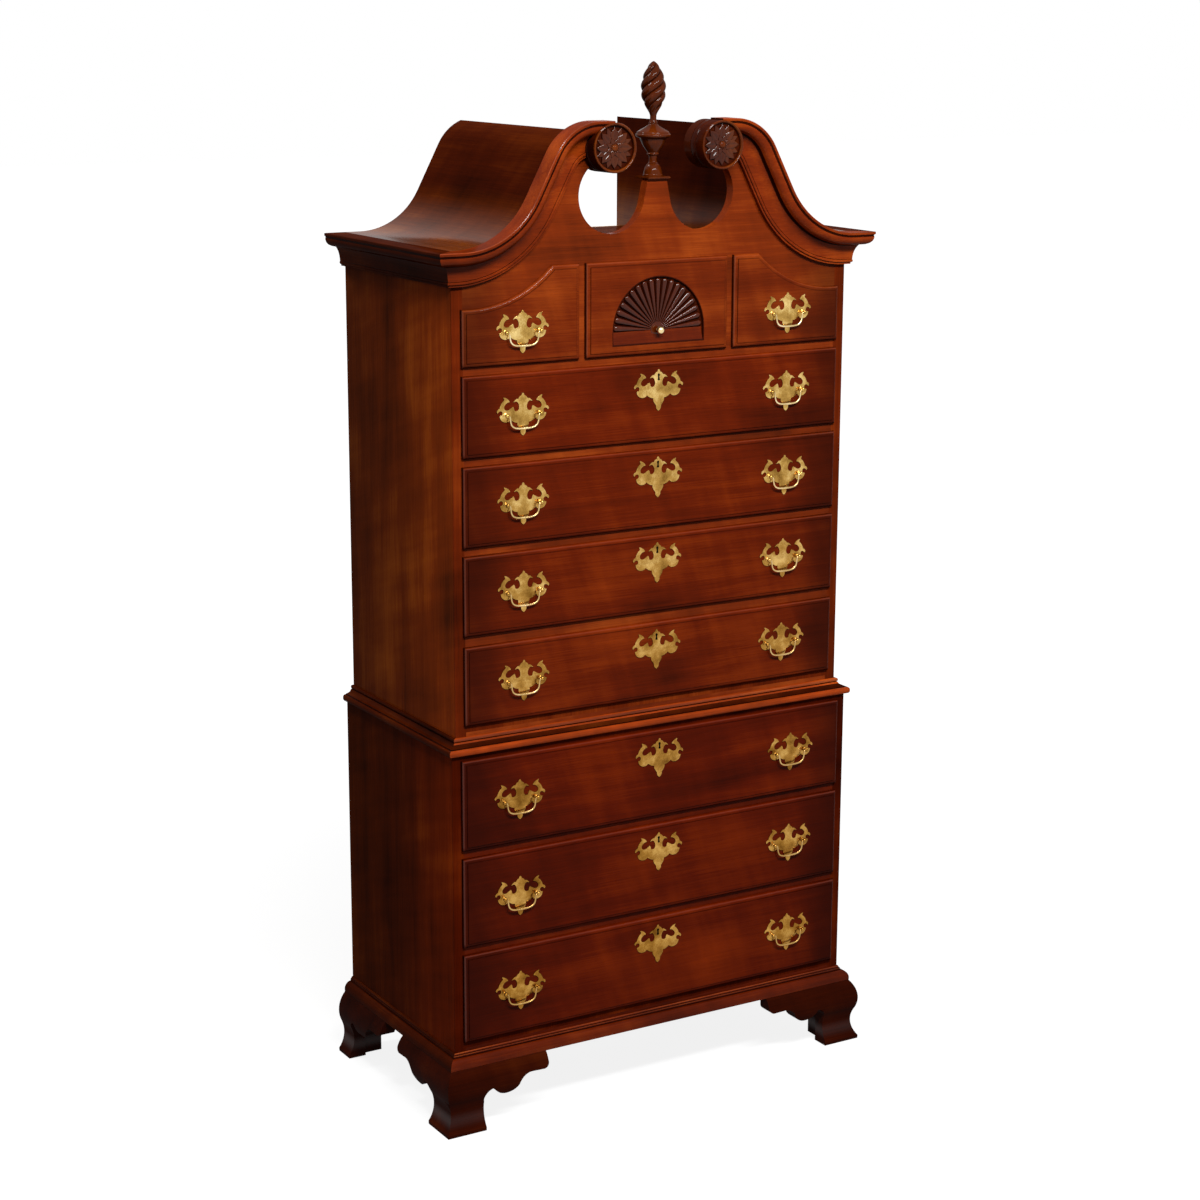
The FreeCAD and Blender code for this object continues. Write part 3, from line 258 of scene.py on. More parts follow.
middle = Vector((0, 0, 1.1))
lamp("key_strip", (-0.3, -2.7, 3.7), Vector((0, 0, 1.4)), wide=2.8, high=0.4, power=165)
lamp("side_box", (-3.6, -2.0, 3.2), middle, wide=0.45, high=0.45, power=5)
lamp("top_box", (-1.6, 1.2, 4.2), middle, wide=0.6, high=0.6, power=45)
back_box = lamp("back_box", (2.6, 4.8, 2.7), Vector((-0.3, 0, 1.95)), wide=0.8, high=0.8, power=10)
back_box.visible_camera = False

# ------------------------------------------------------------
# Carcase: two stacked cases with their rails, the pediment board, the bonnet's roof and the bracket feet.
# The boards are cherry, stained red-brown and lacquered to a satin shine, with painted shade darkening them
# towards their ends and edges; the backs are bare pale wood.
# ------------------------------------------------------------

# The dark and light stains colour the grain and also serve as the colours of the painted shade and painted
# highlights below.
stain_dark_and_shade = (0.026, 0.0030, 0.0007)
stain_middle = (0.125, 0.0120, 0.0014)
stain_light_and_highlight = (0.290, 0.0400, 0.0040)
# For each way of the grain: the axes along it, up the board and into it.
grain_axes = {"X": (0, 2, 1), "Y": (1, 2, 0), "Z": (2, 1, 0)}


def cherry(name, grain, tone=(1, 1, 1), seed=0.0, shine=0.05, haze=0.14, ends=None, lip=None, shade=None,
           carving=None):
    """Stained cherry with its grain along an axis.  shine is the lacquer's weight, or its change with the
    height, and haze how dull it is.  ends gives the two x where the painted shade is darkest, lip a drawer
    front's outline, round which painted shade and a painted highlight fall, shade an axis, its two ends and
    the painted light and shade between them, and carving the distance from an outline sunk into the face,
    along which painted shade darkens it."""
    wood = Finish(name)
    place = wood.place()
    along, up, deep = [place[axis] for axis in grain_axes[grain]]
    drift = wood.noise(along * 1.6 + seed, up * 5.0, deep * 5.0, detail=2.0) * 0.35
    bands = wood.noise(along * 1.1 + seed, up * 16.0 + drift * 3.0, deep * 16.0, detail=4.0,
                       roughness=0.62)
    cloud = wood.noise(along * 3.2, up * 4.2, deep * 4.2 + seed, detail=2.0)
    curl = wood.noise(along * 26.0 + up * 9.0, up * 5.0 + seed, deep * 5.0, detail=2.0)
    fibre = wood.noise(along * 9.0, up * 420.0, deep * 420.0 + seed, detail=2.0)
    pore = wood.noise(along * 55.0, up * 1500.0, deep * 1500.0, detail=1.0)
    shade_of_board = bands * 0.42 + cloud * 0.48 + curl * 0.16 + fibre * 0.16 - 0.10
    colour = wood.ramp(shade_of_board, (0.30, stain_dark_and_shade), (0.52, stain_middle), (0.74, stain_light_and_highlight))
    pores = pore.fade(0.62, 0.72)
    colour = wood.mix(pores * 0.35, colour, (*stain_dark_and_shade, 1))
    if callable(shine):
        shine = shine(place[2])
    # Painted shade: the wood darkens towards the two ends.
    if ends is not None:
        inside = (place[0] - ends[0]).math("MINIMUM", ends[1] - place[0])
        dark = (1 - (inside + cloud * 0.05).fade(0.03, 0.16)) * 0.68
        colour = wood.mix(dark, colour, (*stain_dark_and_shade, 1))
    # Painted shade turns the outer edge of the lip's sides and foot nearly black, a dark line runs along the
    # field step, and a painted highlight lightens a band just inside the top and side edges, where the
    # lacquer is also heavier.
    if lip is not None:
        side, foot, top = lip(place)
        nearest = side.math("MINIMUM", foot).math("MINIMUM", top)
        step = (1 - nearest.fade(0.0085, 0.0105)) * nearest.fade(0.0075, 0.009) * 0.7
        rim = (1 - side.math("MINIMUM", foot).fade(0.0014, 0.0024)) * 0.97
        colour = wood.mix(step.math("MAXIMUM", rim), colour, (*stain_dark_and_shade, 1))
        upper = side.math("MINIMUM", top)
        gloss_and_highlight = upper.fade(0.0004, 0.0014) * (1 - upper.fade(0.0025, 0.0045)) * foot.fade(0.0, 0.012)
        colour = wood.mix(gloss_and_highlight * 0.30, colour, (*stain_light_and_highlight, 1))
        shine = (gloss_and_highlight * 0.3 + shine) * side.math("MINIMUM", foot).fade(0.0, 0.001)
    # Painted shade: a dark band along the sunk outline.
    if carving is not None:
        dark = (1 - carving(place).math("ABSOLUTE").fade(0.0010, 0.0026)) * 0.92
        colour = wood.mix(dark, colour, (*stain_dark_and_shade, 1))
    # Painted light and shade: the tones change along the axis.
    if shade is not None:
        axis, low, high, stops = shade
        reach = (place[axis] - low) * (1 / (high - low))
        colour = wood.mix(1.0, colour, wood.ramp(reach, *stops), "MULTIPLY")
    colour = wood.mix(1.0, colour, (*tone, 1), "MULTIPLY")
    relief = wood.bump(fibre * 0.5 - pores * 0.5, 0.00006)
    coat = wood.surface(Base_Color=colour, Roughness=0.5, IOR=1.5, Specular_IOR_Level=0.0, Normal=relief,
                        Coat_Weight=shine, Coat_Roughness=haze)
    return wood.done(coat)


def pale_wood(name, grain):
    """Bare secondary wood for drawer sides, runners and backs."""
    wood = Finish(name)
    place = wood.place()
    along, up, deep = [place[axis] for axis in grain_axes[grain]]
    bands = wood.noise(along * 1.2, up * 22.0, deep * 22.0, detail=4.0, roughness=0.6)
    fibre = wood.noise(along * 8.0, up * 380.0, deep * 380.0, detail=2.0)
    shade = bands * 0.75 + fibre * 0.3
    colour = wood.ramp(shade, (0.30, (0.33, 0.17, 0.075)), (0.55, (0.50, 0.30, 0.15)),
                       (0.78, (0.62, 0.42, 0.24)))
    relief = wood.bump(fibre, 0.00008)
    bare = wood.surface(Base_Color=colour, Roughness=0.62, Specular_IOR_Level=0.3, Normal=relief)
    return wood.done(bare)


def dress(node, finish):
    """Gives a CAD node its finish."""
    part = nodes[node]
    part.data.materials.clear()
    part.data.materials.append(finish)
    return part


bare_side = pale_wood("bare_wood_deep", "Y")
bare_back = pale_wood("bare_wood_upright", "Z")

scroll_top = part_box("crown_moulding")[1].z
cornice_top = scroll_top - 0.2373
board_low, board_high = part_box("pediment_board")


def scroll_end(place):
    """Distance from the round end of the nearer scroll."""
    low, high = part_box("rosettes")
    radius = (high.z - low.z) / 2
    across = place[0].math("ABSOLUTE") - (high.x - radius)
    up = place[2] - (low.z + radius)
    return (across * across + up * up).math("SQRT") - radius


def side_painted_shade(node, front, side_front, side_middle, side_back):
    """Painted shade on a case's sides, from its front edge to its back."""
    low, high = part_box(node)
    return (1, low.y, high.y, ((0.0, front), (0.003, front), (0.006, side_front), (0.45, side_middle),
                               (1.0, side_back)))


def roof_shine(z):
    """More lacquer where the roof flattens out above the cornice."""
    return (1 - z.fade(cornice_top - 0.01, cornice_top + 0.08)) * 0.36 + 0.012


def foot_shine(z):
    """More lacquer on the swell and the toe of a foot than in the hollow between them."""
    swell = z.fade(0.135, 0.165)
    toe = (1 - z.fade(0.03, 0.05)) * z.fade(0.012, 0.03)
    return (swell + toe) * 0.22 + 0.03


# Painted shade darkens each case's sides from the front edge back.
dress("upper_case", cherry("cherry_upper_case", "Z", (3, 4, 4), shine=0.015, shade=side_painted_shade(
    "upper_case", (0.34, 0.30, 0.36), (0.70, 0.78, 0.62), (0.37, 0.43, 0.40), (0.22, 0.28, 0.38))))
dress("lower_case", cherry("cherry_lower_case", "Z", (2, 2, 2), shine=0.01, seed=3.7, shade=side_painted_shade(
    "lower_case", (0.30, 0.27, 0.24), (0.68, 0.72, 0.50), (0.30, 0.40, 0.45), (0.26, 0.40, 0.30))))
# Painted light and shade: the upper rails are lighter and the lower ones, between the lower drawers, darker.
dress("upper_drawer_frame", cherry("cherry_upper_rails", "X", (1.42, 1.9, 2.2), seed=5.8))
dress("lower_drawer_frame", cherry("cherry_lower_rails", "X", (0.9, 0.8, 0.7), seed=6.1))
# The pediment is lightened, partly a paler board and partly a painted sheen; painted shade darkens its ends,
# and a painted shadow rings each rosette's drum.
dress("pediment_board", cherry("cherry_pediment", "X", (1.4, 1.85, 2.0), ends=(board_low.x, board_high.x),
                               carving=scroll_end))
# A painted sheen lightens the roof where it flattens out above the cornice.
roof_painted_sheen = (2, cornice_top - 0.02, cornice_top + 0.10,
              ((0.1, (2.6, 5.0, 7.0)), (0.55, (2.0, 3.2, 3.0)), (1.0, (1, 1, 1))))
dress("bonnet", cherry("cherry_roof", "Y", (0.36, 0.40, 0.32), seed=8.2, shine=roof_shine, shade=roof_painted_sheen))
# The feet are darker, partly their own darker stain and partly painted shade where they curve under.
dress("feet", cherry("cherry_feet", "X", (0.31, 0.33, 0.28), seed=4.4, shine=foot_shine))
for node in ("lower_back_panel", "upper_back_panel"):
    dress(node, bare_back)

# ------------------------------------------------------------
# Rosettes: a turned drum of cherry closes each scroll.  Its dished face is carved with eight petals over
# eight sepals and under eight small leaves, round a domed button with a ring of beads.
# ------------------------------------------------------------


def smooth_line(points, steps):
    """Points along a smooth line through the given points."""
    line = []
    for index in range(len(points) - 1):
        before = points[max(index - 1, 0)]
        start, end = points[index], points[index + 1]
        after = points[min(index + 2, len(points) - 1)]
        for step in range(steps):
            t = step / steps
            line.append(tuple(0.5 * (2 * b + (c - a) * t + (2 * a - 5 * b + 4 * c - e) * t * t
                                     + (3 * b - a - 3 * c + e) * t ** 3)
                              for a, b, c, e in zip(before, start, end, after)))
    return line + [tuple(points[-1])]


def lathe(shape, profile, sides, centre, front=False, radius_at=None):
    """Turns a profile of (radius, distance) round an upright axis, or one that faces -Y.  radius_at may
    cut hollows: where it takes off more than an eighth of the radius, the face is marked."""
    rings = []
    for radius, along in profile:
        ring = []
        for side in range(sides):
            turn = 2 * math.pi * side / sides
            reach = radius if radius_at is None else radius_at(radius, along, turn)
            across, other = reach * math.cos(turn), reach * math.sin(turn)
            offset = (across, -along, other) if front else (across, other, along)
            ring.append(shape.verts.new(Vector(centre) + Vector(offset)))
        rings.append(ring)
    for step, (lower, upper) in enumerate(zip(rings, rings[1:])):
        for side in range(sides):
            after = (side + 1) % sides
            face = shape.faces.new((lower[side], lower[after], upper[after], upper[side]))
            if radius_at is not None:
                radius, along = profile[step]
                turn = 2 * math.pi * (side + 0.5) / sides
                face.material_index = 1 if radius_at(radius, along, turn) < radius * 0.86 else 0
    shape.faces.new(rings[0][::-1])
    shape.faces.new(rings[-1])


def give_finishes(made, finishes):
    """Puts finishes in the first slots, so that each face keeps the number of its own."""
    slots = made.data.materials
    for index, finish in enumerate(finishes):
        if index < len(slots):
            slots[index] = finish
        else:
            slots.append(finish)


def settle(made, finish, body, angle=35):
    """Readies a piece that lies in place and joins it to its body.  Edges sharper than the angle stay
    crisp, and several finishes go by the numbers of the faces."""
    shape = bmesh.new()
    shape.from_mesh(made.data)
    bmesh.ops.remove_doubles(shape, verts=shape.verts, dist=1e-6)
    bmesh.ops.recalc_face_normals(shape, faces=shape.faces)
    for face in shape.faces:
        face.smooth = True
    for edge in shape.edges:
        edge.smooth = len(edge.link_faces) == 2 and edge.calc_face_angle(0) < math.radians(angle)
    shape.to_mesh(made.data)
    shape.free()
    give_finishes(made, finish if isinstance(finish, tuple) else (finish,))
    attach(made, body)
    return made


def turning_tree():
    """Geometry nodes that repeat a piece round an axis facing -Y."""
    tree = bpy.data.node_groups.new("repeat_round", "GeometryNodeTree")
    tree.interface.new_socket("Geometry", in_out="INPUT", socket_type="NodeSocketGeometry")
    for name, kind in (("Count", "NodeSocketInt"), ("First Angle", "NodeSocketFloat"),
                       ("Step Angle", "NodeSocketFloat"), ("Centre", "NodeSocketVector"),
                       ("Finish", "NodeSocketMaterial"), ("Hollow Finish", "NodeSocketMaterial")):
        tree.interface.new_socket(name, in_out="INPUT", socket_type=kind)
    tree.interface.new_socket("Geometry", in_out="OUTPUT", socket_type="NodeSocketGeometry")
    add = tree.nodes.new
    given, result = add("NodeGroupInput"), add("NodeGroupOutput")
    points, place = add("GeometryNodeMeshLine"), add("GeometryNodeInstanceOnPoints")
    index, angle = add("GeometryNodeInputIndex"), add("ShaderNodeMath")
    angle.operation = "MULTIPLY_ADD"
    turn, joined = add("ShaderNodeCombineXYZ"), add("GeometryNodeRealizeInstances")
    paint, glaze = add("GeometryNodeSetMaterial"), add("GeometryNodeSetMaterial")
    hollow = add("GeometryNodeInputNamedAttribute")
    hollow.data_type = "INT"
    hollow.inputs["Name"].default_value = "hollow"
    points.inputs["Offset"].default_value = (0, 0, 0)
    for start, end in ((given.outputs["Count"], points.inputs["Count"]),
                       (given.outputs["Centre"], points.inputs["Start Location"]),
                       (points.outputs["Mesh"], place.inputs["Points"]),
                       (given.outputs["Geometry"], place.inputs["Instance"]),
                       (index.outputs[0], angle.inputs[0]),
                       (given.outputs["Step Angle"], angle.inputs[1]),
                       (given.outputs["First Angle"], angle.inputs[2]),
                       (angle.outputs[0], turn.inputs["Y"]),
                       (turn.outputs[0], place.inputs["Rotation"]),
                       (place.outputs["Instances"], joined.inputs["Geometry"]),
                       (joined.outputs["Geometry"], paint.inputs["Geometry"]),
                       (given.outputs["Finish"], paint.inputs["Material"]),
                       (paint.outputs["Geometry"], glaze.inputs["Geometry"]),
                       (hollow.outputs["Attribute"], glaze.inputs["Selection"]),
                       (given.outputs["Hollow Finish"], glaze.inputs["Material"]),
                       (glaze.outputs["Geometry"], result.inputs["Geometry"])):
        tree.links.new(start, end)
    return tree


def plain_mesh(made):
    """The mesh of an object as its modifiers, or its curve's bevel, leave it."""
    bpy.context.view_layer.update()
    graph = bpy.context.evaluated_depsgraph_get()
    return bpy.data.meshes.new_from_object(made.evaluated_get(graph))


def apply_tree(made, tree, **values):
    """Runs a geometry tree on a piece and keeps the plain mesh that comes out."""
    modifier = made.modifiers.new("repeat", "NODES")
    modifier.node_group = tree
    for socket in tree.interface.items_tree:
        key = socket.name.replace(" ", "_")
        if socket.in_out == "INPUT" and key in values:
            modifier[socket.identifier] = values[key]
    whole = plain_mesh(made)
    made.modifiers.clear()
    made.data = whole
    return made


def merge(name, pieces):
    """Joins meshes that already lie in place into one new object."""
    shape = bmesh.new()
    for piece in pieces:
        shape.from_mesh(piece.data)
        bpy.data.objects.remove(piece)
    mesh = bpy.data.meshes.new(name)
    shape.to_mesh(mesh)
    shape.free()
    return add_object(name, mesh)


repeat_round = turning_tree()
carved = cherry("cherry_carved", "Z", (0.66, 1.05, 0.55), seed=1.7, shine=0.18, haze=0.06)
deep_carved = cherry("cherry_deep_carving", "Z", (0.36, 0.50, 0.10), seed=1.7, shine=0.40, haze=0.06)
turned = cherry("cherry_drum", "Y", (0.34, 0.40, 0.40), seed=3.3, shine=0.06)
# A painted highlight, under heavier lacquer, for the bright top edges of the mouldings.
gloss_highlight_edge = cherry("cherry_polished_edge", "X", (2.0, 3.0, 3.6), seed=1.2, shine=0.25)
# Painted shade for moulding faces that turn to the sides.
shaded_side_wood = cherry("cherry_side_moulding", "Y", (0.42, 0.55, 0.6), seed=2.6, shine=0.02)
# Painted shade for hollows, valleys and recesses.
hollow_shade = cherry("cherry_glazed_hollow", "X", (0.16, 0.18, 0.2), seed=2.1, shine=0.03)

rosette_low, rosette_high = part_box("rosettes")
rosette_radius = (rosette_high.z - rosette_low.z) / 2
rosette_centre = Vector((rosette_high.x - rosette_radius, rosette_high.y, rosette_low.z + rosette_radius))
rosette_depth = rosette_high.y - rosette_low.y
dish_floor = rosette_depth - 0.0075
dish_radius = rosette_radius - 0.0055


def drum(shape, centre):
    """Plain drum with a turned groove round it and a rounded rim round its dish.  Its side takes the
    turned finish and the floor of the dish the painted shade of the hollows."""
    rim = rosette_radius
    profile = [(rim - 0.001, 0.0), (rim, 0.004), (rim, 0.016), (rim - 0.0022, 0.0175),
               (rim - 0.0022, 0.0195), (rim, 0.021), (rim, rosette_depth - 0.0025),
               (rim - 0.0008, rosette_depth - 0.0008), (rim - 0.0025, rosette_depth),
               (rim - 0.0042, rosette_depth - 0.0008), (dish_radius, rosette_depth - 0.003),
               (dish_radius - 0.0005, dish_floor), (0.002, dish_floor)]
    lathe(shape, profile, 96, centre, front=True)
    for face in shape.faces:
        place = face.calc_center_median() - Vector(centre)
        if place.y > 0.004 - rosette_depth:
            face.material_index = 3
        elif math.hypot(place.x, place.z) < dish_radius:
            face.material_index = 2


def close_behind(shape, grid, hollow):
    """Walls and a flat back behind a curved face.  The walls count as hollow."""
    edge = ([line[0] for line in grid] + grid[-1][1:] + [line[-1] for line in grid[-2::-1]]
            + grid[0][-2:0:-1])
    behind = [shape.verts.new((place.co.x, 0.0, place.co.z)) for place in edge]
    for index in range(len(edge)):
        after = (index + 1) % len(edge)
        shape.faces.new((edge[index], edge[after], behind[after], behind[index]))[hollow] = 1
    shape.faces.new(behind)


def leaf(shape, start, end, half_width, height, groove, curl, lift=0.0):
    """A carved petal from the middle outwards: rounded, with a groove down it and a pointed tip."""
    rows, columns = 14, 10
    hollow = shape.faces.layers.int.new("hollow")
    grid = []
    for row in range(rows + 1):
        along = row / rows
        reach = start + (end - start) * along
        wide = half_width * math.sin(math.pi * min(1.0, along ** 0.75 * 0.93 + 0.07)) ** 0.8
        wide = max(wide, 0.0002)
        line = []
        for column in range(columns + 1):
            side = column / columns * 2 - 1
            crown = 1 - side * side
            dent = groove * math.exp(-(side / 0.22) ** 2) * math.sin(math.pi * min(1, along * 1.1))
            rise = lift + height * math.sin(math.pi * (0.12 + along * 0.80)) ** 0.7 * crown ** 0.6
            rise += curl * along ** 2 - dent
            line.append(shape.verts.new((side * wide, -rise, reach)))
        grid.append(line)
    for near, far in zip(grid, grid[1:]):
        for column in range(columns):
            face = shape.faces.new((near[column], near[column + 1], far[column + 1], far[column]))
            # The outer strips take the painted shade of the hollows.
            face[hollow] = 1 if column in (0, columns - 1) else 0
    close_behind(shape, grid, hollow)


def renumber(made, finishes):
    """Puts finishes in the slots in this order and numbers the faces to match."""
    kinds = [finishes.index(made.data.materials[face.material_index]) for face in made.data.polygons]
    made.data.materials.clear()
    for finish in finishes:
        made.data.materials.append(finish)
    for face, kind in zip(made.data.polygons, kinds):
        face.material_index = kind
    return made


rosette_finishes = (carved, deep_carved, hollow_shade, turned)


def ring_of(name, build, count, centre, first=0.0):
    """A carved piece repeated evenly all the way round."""
    single = join_mesh(name, build)
    made = apply_tree(single, repeat_round, Count=count, First_Angle=first, Centre=tuple(centre),
                      Step_Angle=2 * math.pi / count, Finish=deep_carved, Hollow_Finish=hollow_shade)
    return renumber(made, rosette_finishes)


petals = 8
beads = 12
half_step = math.pi / petals
leaf_reach = dish_radius - 0.0012
button_dome = [(0.0072, 0.0), (0.0072, 0.0035), (0.0062, 0.0056), (0.0045, 0.0068), (0.0022, 0.0074),
               (0.0003, 0.0075)]


def sepal(shape):
    leaf(shape, 0.012, leaf_reach, half_width=0.0085, height=0.0034, groove=0.0010, curl=0.0008)


def petal(shape):
    leaf(shape, 0.0085, leaf_reach - 0.0015, half_width=0.0120, height=0.0050, groove=0.0022, curl=0.0012)


def small_leaf(shape):
    leaf(shape, 0.005, 0.0200, half_width=0.0058, height=0.0026, groove=0.0009, curl=0.002, lift=0.0022)


def bead(shape):
    bmesh.ops.create_icosphere(shape, subdivisions=2, radius=0.0013,
                               matrix=Matrix.Translation((0, -0.0046, 0.0086)))


rosettes = []
for side in (-1, 1):
    centre = Vector((rosette_centre.x * side, rosette_centre.y, rosette_centre.z))
    floor_centre = centre - Vector((0, dish_floor - 0.0003, 0))
    rosettes += [
        join_mesh("drum", lambda shape: drum(shape, centre)),
        ring_of("sepals", sepal, petals, floor_centre, half_step),
        ring_of("petals", petal, petals, floor_centre),
        ring_of("small_leaves", small_leaf, petals, floor_centre, half_step),
        join_mesh("button", lambda shape: lathe(shape, smooth_line(button_dome, 3), 32, floor_centre,
                                                front=True)),
        ring_of("beads", bead, beads, floor_centre)]
rosette_pair = merge("carved_rosettes", rosettes)
settle(rosette_pair, rosette_finishes, "case")
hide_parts("rosettes")

# ------------------------------------------------------------
# Crown: one moulding runs along each side, turns the front corner on a mitre and climbs as a swan neck to
# its rosette.  It is shaped from solid cherry: fillet, quirk, ovolo, soffit, cove and bead.
# ------------------------------------------------------------

crown_low, crown_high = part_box("crown_moulding")
crown_reach, crown_height = 0.0456, 0.068
wall_half, wall_front = -crown_low.x - crown_reach, crown_low.y + crown_reach
scroll_middle, round_radius, slope = 0.155, 0.110, math.radians(62)
scroll_across, scroll_rise, scroll_radius = 0.124, 0.186, 0.0482
bend_set_in = 0.00598
level_end = wall_half - bend_set_in
# Shares of the reach out from the wall and of the height down from the top edge.  A third value names the
# face that starts there: 1 a hollow darkened by painted shade, 2 an edge lightened by a painted highlight
# under heavier lacquer, and 3 a face darkened by the painted shade of the sides.
crown_profile = [
    (0.955, 0.0, 2), (0.985, 0.004, 2), (1.0, 0.020), (1.0, 0.035), (1.0, 0.070), (0.992, 0.082),
    (0.955, 0.090, 1), (0.940, 0.125, 1), (0.952, 0.150), (0.955, 0.185), (0.940, 0.230), (0.905, 0.280),
    (0.850, 0.325), (0.780, 0.360), (0.700, 0.380), (0.672, 0.392, 1), (0.480, 0.402, 1), (0.445, 0.425),
    (0.400, 0.470), (0.350, 0.535), (0.310, 0.610), (0.282, 0.690), (0.264, 0.770), (0.256, 0.845, 1),
    (0.254, 0.862), (0.272, 0.876), (0.278, 0.900), (0.270, 0.926), (0.246, 0.942, 1), (0.205, 0.950),
    (0.200, 0.998), (0.0, 1.0), (0.0, 0.0)]


def skin(shape, rings, shares, side_runs):
    """Skins the rings of a moulding and closes its ends.  The stretches named run along the sides."""
    rings = [[shape.verts.new(place) for place in ring] for ring in rings]
    count = len(rings[0])
    for run, (near, far) in enumerate(zip(rings, rings[1:])):
        for index in range(count):
            after = (index + 1) % count
            face = shape.faces.new((near[index], far[index], far[after], near[after]))
            kind = shares[index][2] if len(shares[index]) > 2 else 0
            face.material_index = 3 if run in side_runs and kind != 1 else kind
    for end in (rings[0], rings[-1][::-1]):
        shape.faces.new(end).material_index = 1


def swan_line():
    """The top edge from the mitre to the rosette, left half: (x, z, slope) at each step."""
    over, share = math.sin(slope), 1 - math.cos(slope)
    high = (scroll_middle + round_radius * over, scroll_top - round_radius * share)
    run, rise = level_end - high[0], high[1] - cornice_top
    hollow = (run * over - rise * math.cos(slope)) / share
    line = [(-level_end, cornice_top, 0.0)]
    steps = 30
    for step in range(1, steps + 1):
        turn = slope * step / steps
        line.append((-level_end + hollow * math.sin(turn),
                     cornice_top + hollow * (1 - math.cos(turn)), turn))
    for step in range(steps + 1):
        turn = slope * (1 - step / steps)
        line.append((-scroll_middle - round_radius * math.sin(turn),
                     scroll_top - round_radius * (1 - math.cos(turn)), turn))
    line.append((-scroll_across, scroll_top, 0.0))
    return line


def crown_half(shape):
    """Sweeps the profile along the left side, round the mitre and up the neck."""
    profile = [(share[0] * crown_reach, share[1] * crown_height) for share in crown_profile]
    rings = [[(-wall_half - out, crown_high.y, cornice_top - down) for out, down in profile],
             [(-wall_half - out, wall_front - out, cornice_top - down) for out, down in profile]]
    for x, z, turn in swan_line():
        rings.append([(x + down * math.sin(turn), wall_front - out, z - down * math.cos(turn))
                      for out, down in profile])
    skin(shape, rings, crown_profile, (0,))


def rosette_cutter(shape):
    """A round bar where the rosette's drum stands, a little thinner so that the two touch."""
    reach = scroll_radius - 0.0004
    bar = [(reach, -0.01), (reach, 0.06)]
    lathe(shape, bar, 96, (-scroll_across, wall_front, cornice_top + scroll_rise), front=True)


def cut_away(made, cutter):
    """Cuts one piece by another and keeps the plain mesh."""
    modifier = made.modifiers.new("cut", "BOOLEAN")
    modifier.operation, modifier.object, modifier.solver = "DIFFERENCE", cutter, "EXACT"
    whole = plain_mesh(made)
    made.modifiers.clear()
    made.data = whole
    bpy.data.objects.remove(cutter)
    return made


def mirrored(made):
    """A second piece that is the first one seen in a mirror across the middle."""
    other = add_object(made.name + "_right", made.data.copy())
    other.data.transform(Matrix.Scale(-1, 4, (1, 0, 0)))
    other.data.flip_normals()
    return other


crown_wood = cherry("cherry_crown", "X", (1.4, 1.65, 1.5), seed=2.1, shine=0.08)
crown_finishes = (crown_wood, hollow_shade, gloss_highlight_edge, shaded_side_wood)
left_crown = join_mesh("crown_left", crown_half)
give_finishes(left_crown, crown_finishes)
cut_away(left_crown, join_mesh("rosette_bar", rosette_cutter))
crown = merge("shaped_crown", [mirrored(left_crown), left_crown])
settle(crown, crown_finishes, "case", angle=30)
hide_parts("crown_moulding")

# ------------------------------------------------------------
# Waist and base mouldings: each runs along both sides and the front, mitred at the corners.  The waist
# hides the joint of the two cases with a torus, cove and bead; the base has a fascia, ovolo and fillets.
# ------------------------------------------------------------

waist_profile = [
    (0.0, 0.0), (0.80, 0.0), (0.90, 0.02), (0.96, 0.07), (0.995, 0.14), (1.0, 0.215), (0.995, 0.29),
    (0.96, 0.36), (0.90, 0.41), (0.82, 0.43, 1), (0.72, 0.435, 1), (0.70, 0.475, 3), (0.60, 0.490, 3),
    (0.47, 0.52, 3), (0.36, 0.58, 3), (0.29, 0.65), (0.255, 0.71), (0.225, 0.715), (0.222, 0.745, 1),
    (0.165, 0.75, 1), (0.165, 0.785), (0.20, 0.79), (0.235, 0.82, 2), (0.248, 0.87, 2), (0.235, 0.93, 2),
    (0.20, 0.975), (0.16, 0.99), (0.0, 1.0)]
base_profile = [
    (0.0, 0.0), (1.0, 0.0), (1.0, 0.164), (0.995, 0.22), (0.975, 0.30), (0.93, 0.39), (0.85, 0.49),
    (0.73, 0.58), (0.58, 0.655), (0.42, 0.70, 1), (0.30, 0.705, 1), (0.27, 0.735, 1), (0.285, 0.75),
    (0.285, 0.82, 2), (0.275, 0.845, 1), (0.24, 0.855, 1), (0.20, 0.89), (0.15, 0.945, 2), (0.124, 0.995),
    (0.0, 1.0)]
waist_reach, base_reach = 0.02505, 0.0201


def wrapped(node, reach, profile, finish):
    """A moulding round the front and both sides, in the box of its CAD piece."""
    low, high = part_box(node)
    section = [(corner[0] * reach, low.z + corner[1] * (high.z - low.z)) for corner in profile]
    half, front = -low.x - reach, low.y + reach
    rings = [[(turn * (half + out), ahead - out * bent, up) for out, up in section]
             for turn, ahead, bent in ((-1, high.y, 0), (-1, front, 1), (1, front, 1), (1, high.y, 0))]
    made = join_mesh("shaped_" + node, lambda shape: skin(shape, rings, profile, (0, 2)))
    settle(made, (finish, hollow_shade, gloss_highlight_edge, shaded_side_wood), "case", angle=30)
    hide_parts(node)


# The waist's front is lightened as a painted highlight on its torus.
wrapped("waist_moulding", waist_reach, waist_profile,
        cherry("cherry_waist", "X", (2.9, 3.9, 3.5), seed=2.1, shine=0.10))
wrapped("base_moulding", base_reach, base_profile,
        cherry("cherry_base", "X", (0.9, 0.9, 0.8), seed=2.8, shine=0.10))

# ------------------------------------------------------------
# Finial: a thin square cap on the plinth, a turned covered urn, and a flame carved as four strands
# twisted once round.
# ------------------------------------------------------------

